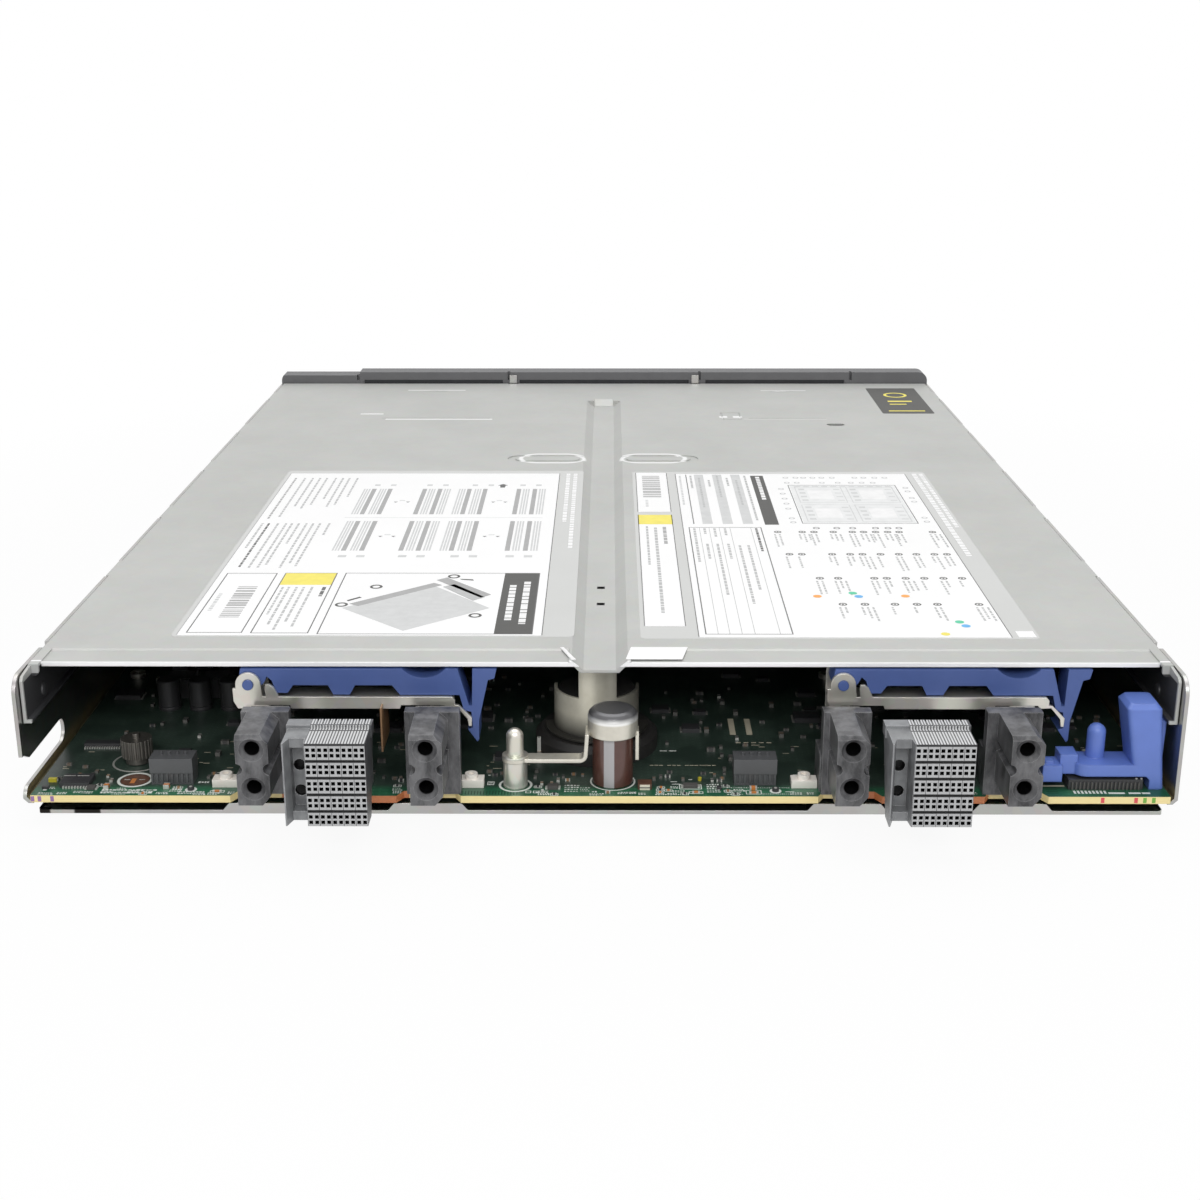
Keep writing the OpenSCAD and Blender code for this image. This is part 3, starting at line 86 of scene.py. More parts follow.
# Painted highlight bands on the pressed lines and finger arcs of the panel: x from, x to, y from, y to, how
# bright they are
PRESSED_LINE_HIGHLIGHTS = ((-127, -115, 154.6, 156.6, 0.9), (-112.4, -57.4, 142.0, 143.8, 0.9),
                 (60, 64, 146.4, 150.8, 0.8), (67, 71.6, 146.4, 150.8, 0.8),
                 (72.4, 115, 142.8, 143.8, 0.4), (-109, -77, 216.8, 218.8, 0.6), (87, 112, 216.2, 217.6, 0.6))
# Contact fields of the signal connectors and bores of the power modules
CONTACT_PITCH = 1.81
ROW_PITCH = 5.45
ROW_FOOT = BOARD_TOP + 0.925
FIELDS = [(corners(side)[0][0] + 7.3, corners(side)[1][0] - 0.5)
          for side in ("signal_connector_left", "signal_connector_right")]
BORE_X = (-105.05, -52.55, 76.75, 129.25)
BORE_Z = (21.2, 33.9)


# ---- mesh building
def circle(x, y, r, sides):
    """Corner points of a round outline, counter-clockwise."""
    return [(x + r * math.cos(2 * math.pi * k / sides), y + r * math.sin(2 * math.pi * k / sides))
            for k in range(sides)]


def show(name, data):
    """Puts new data into the scene as an object."""
    thing = bpy.data.objects.new(name, data)
    bpy.context.scene.collection.objects.link(thing)
    return thing


class Shape:
    """Collects closed solids given in millimetres and becomes one mesh piece."""

    def __init__(self):
        self.mesh = bmesh.new()

    def loop(self, points, z):
        return [self.mesh.verts.new((x, y, z)) for x, y in points]

    def band(self, a, b):
        """Faces between two loops of as many points."""
        for k in range(len(a)):
            j = (k + 1) % len(a)
            self.mesh.faces.new((a[k], a[j], b[j], b[k]))

    def prism(self, points, z0, z1):
        """A flat outline in X and Y, given counter-clockwise, from z0 up to z1."""
        low, high = self.loop(points, z0), self.loop(points, z1)
        self.mesh.faces.new(high)
        self.mesh.faces.new(low[::-1])
        self.band(low, high)

    def box(self, x0, y0, z0, x1, y1, z1):
        self.prism([(x0, y0), (x1, y0), (x1, y1), (x0, y1)], z0, z1)

    def round_box(self, x0, y0, z0, x1, y1, z1, r, steps=5):
        """A box whose four upright corners are round."""
        points = []
        centres = ((x1 - r, y1 - r), (x0 + r, y1 - r), (x0 + r, y0 + r), (x1 - r, y0 + r))
        for turn, (cx, cy) in enumerate(centres):
            for k in range(steps + 1):
                angle = (turn + k / steps) * math.pi / 2
                points.append((cx + r * math.cos(angle), cy + r * math.sin(angle)))
        self.prism(points, z0, z1)

    def disc(self, x, y, r, z0, z1, sides):
        self.prism(circle(x, y, r, sides), z0, z1)

    def ring(self, x, y, r, width, z0, z1, sides=18):
        """A flat ring of outer radius r."""
        out0, out1, in0, in1 = (self.loop(circle(x, y, radius, sides), z)
                                for radius in (r, r - width) for z in (z0, z1))
        for a, b in ((out0, out1), (out1, in1), (in1, in0), (in0, out0)):
            self.band(a, b)

    def frame(self, x0, y0, x1, y1, line, z0, z1):
        """A rectangular outline drawn with a line of the given width."""
        self.box(x0, y0, z0, x1, y0 + line, z1)
        self.box(x0, y1 - line, z0, x1, y1, z1)
        self.box(x0, y0 + line, z0, x0 + line, y1 - line, z1)
        self.box(x1 - line, y0 + line, z0, x1, y1 - line, z1)

    def piece(self, name, body, material, bevel=0.0):
        """Turns what was collected into a mesh object that rides on a body."""
        bmesh.ops.scale(self.mesh, vec=(MM, MM, MM), verts=self.mesh.verts)
        bmesh.ops.recalc_face_normals(self.mesh, faces=self.mesh.faces)
        data = bpy.data.meshes.new(name)
        self.mesh.to_mesh(data)
        self.mesh.free()
        data.materials.append(material)
        thing = show(name, data)
        if bevel:
            edge = thing.modifiers.new("edge", "BEVEL")
            edge.width = bevel * MM
            edge.segments = 2
            edge.limit_method = "ANGLE"
        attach(thing, body)


# ---- materials
def linear(r, g, b):
    """A screen colour, 0 to 255, as the linear colour that the shader takes."""
    def channel(v):
        v /= 255
        return v / 12.92 if v <= 0.04045 else ((v + 0.055) / 1.055) ** 2.4
    return (channel(r), channel(g), channel(b), 1.0)


def shade(colour, k):
    """A linear colour made lighter or darker by the factor k."""
    return tuple(min(1.0, v * k) for v in colour[:3]) + (1.0,)


class Nodes:
    """A node tree in the making."""

    def __init__(self, owner, output):
        owner.use_nodes = True
        self.tree = owner.node_tree
        self.tree.nodes.clear()
        self.out = self.add(output)

    def add(self, kind, **settings):
        node = self.tree.nodes.new(kind)
        for key, value in settings.items():
            setattr(node, key, value)
        return node

    def link(self, a, b):
        self.tree.links.new(a, b)

    def feed(self, value, socket):
        if isinstance(value, bpy.types.NodeSocket):
            self.link(value, socket)
        else:
            socket.default_value = value

    def math(self, operation, *values, clamp=False):
        node = self.add("ShaderNodeMath", operation=operation, use_clamp=clamp)
        for value, socket in zip(values, node.inputs):
            self.feed(value, socket)
        return node.outputs[0]

    def ramp(self, value, low, high, start=0.0, end=1.0):
        """Rises from start at low to end at high, and stays level beyond them."""
        node = self.add("ShaderNodeMapRange")
        for socket, setting in zip(node.inputs, (value, low, high, start, end)):
            self.feed(setting, socket)
        return node.outputs[0]

    def seen(self, *rays):
        """1 for the named kinds of ray."""
        path = self.add("ShaderNodeLightPath")
        share = path.outputs[rays[0]]
        for ray in rays[1:]:
            share = self.math("MAXIMUM", share, path.outputs[ray])
        return share

    def even(self, kind, tone, **sockets):
        """A shader of one grey tone."""
        node = self.add(kind)
        node.inputs["Color"].default_value = (tone, tone, tone, 1)
        for key, value in sockets.items():
            node.inputs[key].default_value = value
        return node.outputs[0]

    def blend(self, share, a, b):
        """Sends out a mixture of two shaders."""
        node = self.add("ShaderNodeMixShader")
        for source, socket in zip((share, a, b), node.inputs):
            self.link(source, socket)
        self.link(node.outputs[0], self.out.inputs[0])


class Finish(Nodes):
    """A surface material, whose tone is painted over step by step before it is finished."""

    def __init__(self, name):
        self.material = bpy.data.materials.new(name)
        super().__init__(self.material, "ShaderNodeOutputMaterial")
        self.shader = self.add("ShaderNodeBsdfPrincipled")
        self.link(self.shader.outputs[0], self.out.inputs[0])
        self.place = self.add("ShaderNodeTexCoord").outputs["Object"]
        self.parts = None

    def times(self, *values):
        product = values[0]
        for value in values[1:]:
            product = self.math("MULTIPLY", product, value)
        return product

    def off(self, value, centre):
        """How far a value is from a centre."""
        return self.math("ABSOLUTE", self.math("SUBTRACT", value, centre))

    def length(self, x, y):
        return self.math("SQRT", self.math("ADD", self.times(x, x), self.times(y, y)))

    def noise(self, size, stretch=(1, 1, 1), detail=3.0, rough=0.55):
        """Noise whose features are about size millimetres across."""
        scaled = self.add("ShaderNodeMapping")
        scaled.inputs["Scale"].default_value = stretch
        self.link(self.place, scaled.inputs["Vector"])
        node = self.add("ShaderNodeTexNoise")
        node.inputs["Scale"].default_value = 1 / (size * MM)
        node.inputs["Detail"].default_value = detail
        node.inputs["Roughness"].default_value = rough
        self.link(scaled.outputs[0], node.inputs["Vector"])
        return node.outputs[0]

    def mix(self, share, a, b, mode="MIX"):
        node = self.add("ShaderNodeMix", data_type="RGBA", blend_type=mode)
        self.feed(share, node.inputs[0])
        self.feed(a, node.inputs[6])
        self.feed(b, node.inputs[7])
        return node.outputs[2]

    def cloudy(self, noise, a, b, low=0.3, high=0.7):
        return self.mix(self.ramp(noise, low, high), a, b)

    def paint(self, share, r, g, b):
        """Covers a share of the tone with a screen colour."""
        self.tone = self.mix(share, self.tone, linear(r, g, b))

    def spangle(self, share):
        """Faint crystals of a zinc coat."""
        node = self.add("ShaderNodeTexVoronoi", feature="F1")
        node.inputs["Scale"].default_value = 1 / (3.4 * MM)
        self.link(self.place, node.inputs["Vector"])
        self.tone = self.mix(share, self.tone, node.outputs["Color"], "SOFT_LIGHT")

    def rounded(self, radius):
        node = self.add("ShaderNodeBevel", samples=4)
        node.inputs["Radius"].default_value = radius * MM
        return node.outputs[0]

    def edge_mask(self, radius, gain=3.0):
        """1 on convex and concave edges, 0 on flats."""
        dot = self.add("ShaderNodeVectorMath", operation="DOT_PRODUCT")
        self.link(self.rounded(radius), dot.inputs[0])
        self.link(self.add("ShaderNodeNewGeometry").outputs["True Normal"], dot.inputs[1])
        off = self.math("SUBTRACT", 1.0, dot.outputs["Value"], clamp=True)
        return self.math("MULTIPLY", off, gain, clamp=True)

    def axis(self, index):
        """One coordinate of the place in the object's frame, in metres."""
        if self.parts is None:
            self.parts = self.add("ShaderNodeSeparateXYZ")
            self.link(self.place, self.parts.inputs[0])
        return self.parts.outputs[index]

    def rise(self, length, low, high):
        """0 at low and 1 at high, in millimetres, of a length or of the place along an axis."""
        return self.ramp(self.axis(length) if isinstance(length, int) else length, low * MM, high * MM)

    def within(self, box, soft=0.1):
        """1 inside a box given as three (low, high) pairs in millimetres; None leaves an axis open."""
        return self.times(*(self.times(self.rise(index, pair[0] - soft, pair[0] + soft),
                                       self.rise(index, pair[1] + soft, pair[1] - soft))
                            for index, pair in enumerate(box) if pair))

    def steps(self, index, start, pitch):
        """Number of pitches from a start along an axis."""
        return self.math("DIVIDE", self.math("SUBTRACT", self.axis(index), start * MM), pitch * MM)

    def from_middle(self, steps, pace=1.0):
        """How far a place is from the middle of its step, up to a half."""
        return self.off(self.math("FRACT", self.times(steps, pace)), 0.5)

    def finished(self, relief, bump, rounding, roughness, spread=0.0, metallic=0.0, gloss=None, **sockets):
        """The material, with its gloss spread by a noise, which is the relief unless gloss names another."""
        inputs = self.shader.inputs
        self.link(self.tone, inputs["Base Color"])
        self.feed(metallic, inputs["Metallic"])
        if spread:
            roughness = self.math("MULTIPLY_ADD", relief if gloss is None else gloss, spread, roughness)
        self.feed(roughness, inputs["Roughness"])
        node = self.add("ShaderNodeBump")
        node.inputs["Strength"].default_value = bump
        node.inputs["Distance"].default_value = 0.05 * MM
        self.link(relief, node.inputs["Height"])
        if rounding:
            self.link(self.rounded(rounding), node.inputs["Normal"])
        self.link(node.outputs[0], inputs["Normal"])
        for key, value in sockets.items():
            inputs[key.replace("_", " ")].default_value = value
        return self.material


def surface(name, colour, metallic=0.0, roughness=0.5, mottle=0.06, mottle_size=9, grain=0.06,
            grain_size=0.5, bump=0.2, stretch=(1, 1, 1), rounding=0.25, edge_wear_and_sheen=0.0, **sockets):
    """A finish with uneven tone, fine grain in gloss and relief, soft edges, and lighter edges that are
    partly rubbed wear and partly a painted highlight.
    """
    f = Finish(name)
    colour = linear(*colour)
    f.tone = f.cloudy(f.noise(mottle_size, detail=4), shade(colour, 1 - mottle), shade(colour, 1 + mottle))
    # Lighter edges: partly rubbed wear, partly a painted edge highlight
    if edge_wear_and_sheen:
        f.tone = f.mix(f.times(f.edge_mask(0.35), edge_wear_and_sheen), f.tone, shade(colour, 1.9))
    return f.finished(f.noise(grain_size, stretch), bump, rounding, roughness - grain, 2 * grain, metallic,
                      **sockets)


def ink(name, colour):
    """Printed or painted colour with a slightly uneven lay."""
    return surface(name, colour, roughness=0.6, mottle=0.05, mottle_size=4, grain=0.05, grain_size=0.6,
                   bump=0.05, rounding=0)


def bright_sheet():
    """Bright plated sheet: faint spangles under a satin skin."""
    f = Finish("bright_sheet")
    colour = linear(214, 211, 202)
    f.tone = f.cloudy(f.noise(26), shade(colour, 0.97), shade(colour, 1.03))
    f.spangle(0.08)
    return f.finished(f.noise(0.35, (1, 0.12, 1)), 0.08, 0.3, 0.25, 0.1, 0.7)


def pan_sheet():
    """Base pan: zinc sheet, with painted shade for the gaps where its rear edge stands on two pads."""
    f = Finish("zinc_sheet")
    f.tone = f.cloudy(f.noise(26), linear(172, 171, 168), linear(184, 183, 180))
    f.spangle(0.05)
    # Painted shade: dark patches on the rear edge where the gaps beside the pads lie in shadow
    for shaded_gap in ((-179, -174.8), (-167.2, -158.8)):
        f.paint(f.within((shaded_gap, (-240, BOARD_REAR + 4), (0, BOARD_TOP - 5)), 0.3), 40, 38, 36)
    return f.finished(f.noise(0.35, (1, 0.12, 1)), 0.08, 0.3, 0.26, 0.1, 1.0)


def panel_sheet():
    """Access panel: satin zinc sheet, fine brushing, and a painted highlight where the rear edge is rolled
    over.
    """
    f = Finish("panel_sheet")
    f.tone = f.cloudy(f.noise(38, detail=4), linear(181, 182, 179), linear(189, 190, 187))
    f.spangle(0.03)
    # Painted highlight: a bright band along the rolled rear lip
    lip_highlight = f.rise(1, PANEL_REAR + 0.9, PANEL_REAR + 0.2)
    face = f.within((None, (PANEL_REAR - 0.4, PANEL_REAR + 0.9), (PANEL_TOP - 1.9, PANEL_TOP + 1)))
    f.paint(f.times(lip_highlight, face), 250, 250, 250)
    # Painted shade on the inner faces of the side flanges, and on the walls of the sight holes
    across = f.math("ABSOLUTE", f.axis(0))
    side = f.rise(across, PANEL_HIGH[0] - 6, PANEL_HIGH[0] - 5)
    skin = f.rise(across, PANEL_HIGH[0] - 0.6, PANEL_HIGH[0] - 0.8)
    f.paint(f.times(side, skin, f.within((None, (PANEL_LOW[1] + 0.9, 0), (30, 46.2)))), 66, 66, 68)
    for y in SIGHT_HOLES:
        f.paint(f.within(((-1.45, 1.45), (y - 1.45, y + 1.45), None), 0.05), 26, 26, 26)
    # Painted highlights on the rims of the two curved pressings, on the pressed lines and on the finger arcs
    off_x = f.math("MAXIMUM", f.math("SUBTRACT", f.off(across, 23.6 * MM), 6.2 * MM), 0.0)
    radius = f.length(off_x, f.math("SUBTRACT", f.axis(1), 57.6 * MM))
    rim_highlight = f.times(f.rise(radius, 7.2, 8.0), f.rise(radius, 10.0, 9.2))
    f.paint(f.times(rim_highlight, 0.8), 248, 248, 248)
    for x0, x1, y0, y1, share in PRESSED_LINE_HIGHLIGHTS:
        line = f.within(((x0, x1), (y0, y1), (PANEL_TOP - 1.2, PANEL_TOP + 1)), 0.3)
        f.paint(f.times(line, share), 250, 250, 250)
    return f.finished(f.noise(0.4, (1, 0.15, 1)), 0.08, 0.4, 0.46, 0.1, 0.3)


def laminate():
    """Circuit board: green mask with faint tracks on the faces, darkened by painted shade away from the rear
    strip, tan or copper cut edges.
    """
    f = Finish("circuit_board")
    up = f.add("ShaderNodeSeparateXYZ")
    f.link(f.add("ShaderNodeTexCoord").outputs["Normal"], up.inputs[0])
    face = f.ramp(f.math("ABSOLUTE", up.outputs[2]), 0.45, 0.55)
    tracks = f.add("ShaderNodeTexBrick", offset=0.5)
    for key, value in (("Scale", 1 / (5 * MM)), ("Mortar Size", 0.06), ("Brick Width", 0.9),
                       ("Row Height", 0.22)):
        tracks.inputs[key].default_value = value
    f.link(f.place, tracks.inputs["Vector"])
    line = tracks.outputs["Fac"]
    drawn = f.times(line, f.ramp(f.noise(14, detail=2), 0.46, 0.54))
    mask = f.mix(drawn, linear(34, 88, 62), linear(58, 118, 86))
    shaded_ground = f.mix(drawn, linear(46, 60, 53), linear(64, 80, 71))
    # Painted shade: the mask keeps its green only near the rear edge and turns to the darker shaded ground
    # under the panel
    mask = f.mix(f.rise(1, BOARD_REAR + 8.5, BOARD_REAR + 5), shaded_ground, mask)
    fibre = f.noise(0.5, (0.2, 0.2, 4))
    tan = f.mix(fibre, linear(240, 216, 146), linear(255, 240, 182))
    copper = f.mix(fibre, linear(186, 104, 60), linear(216, 140, 92))
    plated = f.math("ADD", f.within(((-101, -60.5),)), f.within(((84.5, 123.5),)), clamp=True)
    f.tone = f.mix(face, f.mix(plated, tan, copper), mask)
    return f.finished(line, 0.1, 0, 0.38)


def memory_modules():
    """Memory modules: green boards with rows of black chips and gold contacts at the foot."""
    f = Finish("memory_module")
    first_chip = corners("memory_bank_left")[0][1] + 7.6
    along = f.math("FRACT", f.steps(1, first_chip, 13.2))
    row = f.within((None, None, (BOARD_TOP + 12.95, BOARD_TOP + 25.05)), 0.02)
    f.tone = f.cloudy(f.noise(8), linear(26, 84, 56), linear(34, 98, 68))
    f.paint(f.times(f.ramp(along, 0.795, 0.785), row), 40, 40, 42)
    f.paint(f.rise(2, BOARD_TOP + 5.2, BOARD_TOP + 5), 206, 172, 92)
    return f.finished(f.noise(0.5), 0.1, 0.15, 0.42)


def card_laminate():
    """Expansion card: green board under a finned metal cooler."""
    f = Finish("card_board")
    f.tone = f.cloudy(f.noise(8), linear(28, 86, 60), linear(36, 102, 72))
    cooler = f.rise(2, BOARD_TOP + 15.62, BOARD_TOP + 15.7)
    f.paint(cooler, 150, 152, 156)
    return f.finished(f.noise(0.5), 0.1, 0.2, 0.42, metallic=f.times(cooler, 0.85))


def contact_housing():
    """Moulded grey connector: painted highlights on its edges round the contact openings, painted shade in
    the openings, seams between wafers, a ribbed top drawn in painted highlight and shade.
    """
    f = Finish("signal_body")
    grime = f.noise(4, detail=4)
    f.tone = f.cloudy(grime, linear(118, 119, 121), linear(148, 150, 152))
    # Painted highlight on every edge, which gives the bright frames round the contact openings
    f.paint(f.edge_mask(0.22, 2.4), 222, 223, 224)
    for low, high in FIELDS:
        across = f.steps(0, low, CONTACT_PITCH)
        # Ribs of the wafers on the sloping top drawn as painted highlight and shade, painted shade in the
        # grooves between them, and two dark lines across
        blade = f.mix(f.ramp(f.from_middle(across, 2), 0.18, 0.4), linear(214, 215, 216), linear(86, 87, 89))
        blade = f.mix(f.ramp(f.from_middle(across), 0.4, 0.46), blade, linear(34, 34, 36))
        for y in (-248.4, -246.2):
            line = f.rise(f.off(f.axis(1), y * MM), 0.42, 0.3)
            blade = f.mix(line, blade, linear(60, 60, 62))
        top = f.within(((low, high), (CAD_REAR - 0.5, CAD_REAR + 20), (37.6, 41)), 0.05)
        f.tone = f.mix(top, f.tone, blade)
        # Painted shade on the flank beyond the end of the contact field
        shaded_flank = f.within(((high - 0.25, high + 0.8),), 0.04)
        f.tone = f.mix(shaded_flank, f.tone, f.cloudy(grime, linear(62, 63, 65), linear(88, 89, 91)))
        # Face with a seam after every other column and a joint between the rows
        face = f.within(((low, high), (CAD_REAR - 0.5, CAD_REAR + 0.12)), 0.04)
        f.paint(face, 182, 183, 184)
        f.paint(f.times(face, f.ramp(f.from_middle(across, 0.5), 0.465, 0.485)), 70, 70, 72)
        joint = f.ramp(f.from_middle(f.steps(2, ROW_FOOT, ROW_PITCH)), 0.4, 0.42)
        f.paint(f.times(face, joint), 44, 44, 46)
        # Painted shade in the contact openings and key bores
        hole = f.within(((low + 0.15, high - 0.15), (CAD_REAR + 0.2, CAD_REAR + 6), (12.6, 38.4)), 0.08)
        bores = f.within(((low - 6.7, low - 0.8), (CAD_REAR + 9.0, CAD_REAR + 30), (15, 36)), 0.08)
        f.paint(f.math("ADD", hole, bores, clamp=True), 18, 18, 19)
    return f.finished(f.noise(0.6), 0.2, 0.12, 0.32, 0.16, 0.15)


def power_moulding():
    """Power module: dusty semi-gloss grey moulding with cloudy streaks, painted highlights on its edges and
    painted shade in its sockets.
    """
    f = Finish("module_moulding")
    cloud = f.noise(5, (1, 1, 0.45), detail=5, rough=0.65)
    f.tone = f.cloudy(cloud, linear(50, 50, 52), linear(108, 108, 110), 0.36, 0.64)
    # Painted highlight along the edges
    f.paint(f.times(f.edge_mask(0.4), 0.6), 186, 186, 188)
    # Painted shade deep in the socket bores
    for x in BORE_X:
        for z in BORE_Z:
            f.paint(f.within(((x - 3.1, x + 3.1), (-250.4, -226), (z - 3.1, z + 3.1)), 0.4), 15, 15, 16)
    return f.finished(f.noise(0.7), 0.25, 0.45, 0.2, 0.3, gloss=cloud)


def cup_sheet():
    """Capacitor clip: bright plated sheet, with a painted highlight band below the cup's rim and its flat top
    painted dark as shade and dark reflection.
    """
    f = Finish("clip_sheet")
    top = corners("capacitor_clip")[1][2]
    f.tone = f.cloudy(f.noise(5), linear(206, 202, 190), linear(222, 218, 206))
    off_x, off_y = (f.math("SUBTRACT", f.axis(k), CAN_AXIS[k] * MM) for k in (0, 1))
    near = f.rise(f.length(off_x, off_y), 9.4, 9.0)
    # Painted highlight: a bright band round the cup just below its top
    f.paint(f.times(near, f.rise(2, top - 3.6, top - 3.0)), 250, 250, 248)
    # Painted shade and dark reflection on the cup's flat top
    f.paint(f.times(near, f.rise(2, top - 2.8, top - 1.2)), 96, 96, 98)
    return f.finished(f.noise(0.5), 0.06, 0.5, 0.26, 0.1, 0.55)


def shield_sheet():
    """Sheet shield and strap: cream plated metal, painted lighter on the left as lit and darker on the right
    as a shaded copy, with painted shade near the board.
    """
    f = Finish("shield_sheet")
    cloud = f.noise(5)
    lit = f.cloudy(cloud, linear(222, 217, 200), linear(236, 232, 216))
    shaded_tone = f.cloudy(cloud, linear(128, 125, 116), linear(144, 141, 131))
    # Painted light and shade: the lit tone on the left blends into the shaded tone on the right
    f.tone = f.mix(f.rise(0, -3, 6), lit, shaded_tone)
    # Painted shade close to the board
    f.paint(f.rise(2, BOARD_TOP + 15, BOARD_TOP + 7.5), 56, 55, 52)
    return f.finished(f.noise(0.5), 0.06, 0.4, 0.32, 0.1, 0.3)


def sleeve():
    """Capacitor sleeve: brown film with one pale stripe down its side."""
    f = Finish("can_sleeve")
    grime = f.noise(3, detail=4)
    f.tone = f.mix(grime, linear(72, 44, 38), linear(100, 66, 58))
    stripe = f.rise(f.off(f.axis(0), (CAN_AXIS[0] - 1.2) * MM), 1.75, 1.55)
    f.paint(f.times(stripe, f.rise(1, CAN_AXIS[1], CAN_AXIS[1] - 1)), 172, 170, 172)
    return f.finished(grime, 0.12, 0, 0.28, Coat_Weight=0.4)


FINISHES = {
    "zinc_steel": pan_sheet(),
    "panel_steel": panel_sheet(),
    "bright_steel": bright_sheet(),
    "bezel_plastic": surface("bezel_moulding", (100, 100, 102), bump=0.35),
    "lever_plastic": surface("lever_moulding", (92, 93, 96), roughness=0.48, bump=0.35),
    "button_plastic": surface("button_moulding", (140, 38, 62), roughness=0.4),
    "light_plastic": surface("light_pipe", (205, 220, 206), roughness=0.2, rounding=0.15, Coat_Weight=0.5),
    "tab_plastic": surface("tab_moulding", (214, 215, 210), roughness=0.45),
    "pcb_green": laminate(),
    "socket_plastic": surface("socket_moulding", (44, 44, 46), bump=0.25),
    "power_plastic": power_moulding(),
    "signal_metal": contact_housing(),
    "heat_aluminium": surface("extruded_metal", (190, 192, 194), 0.9, 0.4, stretch=(1, 0.1, 1)),
    "disk_metal": surface("cast_metal", (160, 162, 165), 0.85, 0.42),
    "latch_blue": surface("latch_moulding", (76, 98, 158), roughness=0.45, mottle=0.05, rounding=0.35),
    "handle_blue": surface("handle_moulding", (102, 128, 204), roughness=0.36, mottle=0.05, rounding=0.8),
    "can_brown": sleeve(),
    "ivory_plastic": surface("socket_frame", (206, 198, 170)),
    "grille_metal": surface("grille_sheet", (58, 59, 62), 0.4, mottle=0.1),
}
# Nodes whose own finish differs from the rest of their slot
OWN_FINISHES = {
    "board_headers": surface("header_moulding", (82, 83, 85), roughness=0.4, mottle=0.08, rounding=0.12,
                             edge_wear_and_sheen=0.15),
    "mount_blocks": surface("nut_block", (248, 242, 234), 0.1, 0.32),
    "thumbscrew": surface("knurled_metal", (116, 113, 108), 0.75, 0.34, mottle=0.1, mottle_size=3,
                          rounding=0.1),
    "capacitor_clip": cup_sheet(),
    "centre_bracket": shield_sheet(),
    "drive_backplane": surface("backplane_board", (30, 90, 62), roughness=0.42),
    "filter_choke": surface("choke_moulding", (44, 43, 42)),
    "panel_rivets": surface("dark_rivet", (70, 70, 72), 0.4, 0.45),
    "bulk_capacitors": surface("bulk_can", (78, 78, 80), 0.4, 0.35),
    "regulator_chokes": surface("choke_case", (92, 92, 94)),
}
MODULES, CARDS = memory_modules(), card_laminate()
for end in ("left", "right"):
    OWN_FINISHES["memory_bank_" + end] = MODULES
    OWN_FINISHES["mezzanine_card_" + end] = CARDS
SLOT_OF = {part["node"]: part["material_slot"] for part in frame["record"]["subparts"]}
for node_name, thing in nodes.items():
    thing.data.materials.clear()
    thing.data.materials.append(OWN_FINISHES.get(node_name) or FINISHES[SLOT_OF[node_name]])

PAPER = surface("label_paper", (253, 253, 253), roughness=0.38, mottle=0.012, mottle_size=30, grain=0.04,
                bump=0.03, rounding=0)
FILM = surface("clear_film", (207, 208, 206), roughness=0.25, mottle=0.02, mottle_size=30, grain=0.03,
               bump=0.03, rounding=0)
INKS = {key: ink("ink_" + key, colour) for key, colour in {
    "dark": (72, 72, 70), "line": (96, 96, 96), "grey": (172, 172, 172), "text": (190, 191, 191),
    "pale": (212, 213, 213), "faint": (236, 237, 237), "white": (246, 246, 246), "yellow": (247, 233, 112),
    "orange": (250, 172, 92), "green": (96, 208, 168), "blue": (108, 184, 240)}.items()}

# ---- printed sheets on the access panel
SHEET_T = 0.12
FILM_T = 0.06
INK_T = 0.03
STICKER_T = 0.1
dice = random.Random(7)


class Print:
    """Flat printed shapes on the panel's top, one mesh for each ink."""

    def __init__(self, base):
        self.base = base
        self.shapes = {}

    def ink(self, colour, layer):
        """The shape of that ink and its lower and upper level."""
        key = (colour, layer)
        if key not in self.shapes:
            self.shapes[key] = Shape()
        return self.shapes[key], self.base + layer * INK_T, self.base + (layer + 1) * INK_T

    def bar(self, colour, x0, y0, x1, y1, layer=0):
        shape, low, high = self.ink(colour, layer)
        shape.box(min(x0, x1), min(y0, y1), low, max(x0, x1), max(y0, y1), high)

    def frame(self, colour, x0, y0, x1, y1, line=0.4, layer=0):
        shape, low, high = self.ink(colour, layer)
        shape.frame(x0, y0, x1, y1, line, low, high)

    def outline(self, colour, points, layer=0):
        shape, low, high = self.ink(colour, layer)
        shape.prism(points, low, high)

    def dot(self, colour, x, y, r, layer):
        shape, low, high = self.ink(colour, layer)
        shape.disc(x, y, r, low, high, 18)

    def ring(self, colour, x, y, r, width, layer=0):
        shape, low, high = self.ink(colour, layer)
        shape.ring(x, y, r, width, low, high)

    def words(self, colour, x, y0, y1, width, longest=4.2, layer=0):
        """A column of short strokes running down from y0 to y1, in place of a line of writing."""
        y = y0
        while y > y1 + 0.8:
            end = max(y1, y - dice.uniform(0.35, 1) * longest)
            self.bar(colour, x - width / 2, end, x + width / 2, y, layer)
            y = end - 0.75

    def stripes(self, colour, x0, x1, y0, y1, layer=0):
        """Bars of uneven width stacked from y0 down to y1, as on a plain strip code."""
        y = y0
        while y > y1:
            end = max(y1, y - dice.choice((0.8, 1.1, 1.7)))
            self.bar(colour, x0, end, x1, y, layer)
            y = end - dice.choice((0.7, 1.0, 1.5))

    def done(self, name):
        for (colour, layer), shape in self.shapes.items():
            shape.piece(f"{name}_{colour}_{layer}", "panel", INKS[colour])


def heading(name, lines):
    """White writing on the clear film: x, y from, y to and width of each line."""
    p = Print(PANEL_TOP + FILM_T)
    for x, top, stop, width in lines:
        p.words("white", x, top, stop, width, 4.4)
    p.done(name)


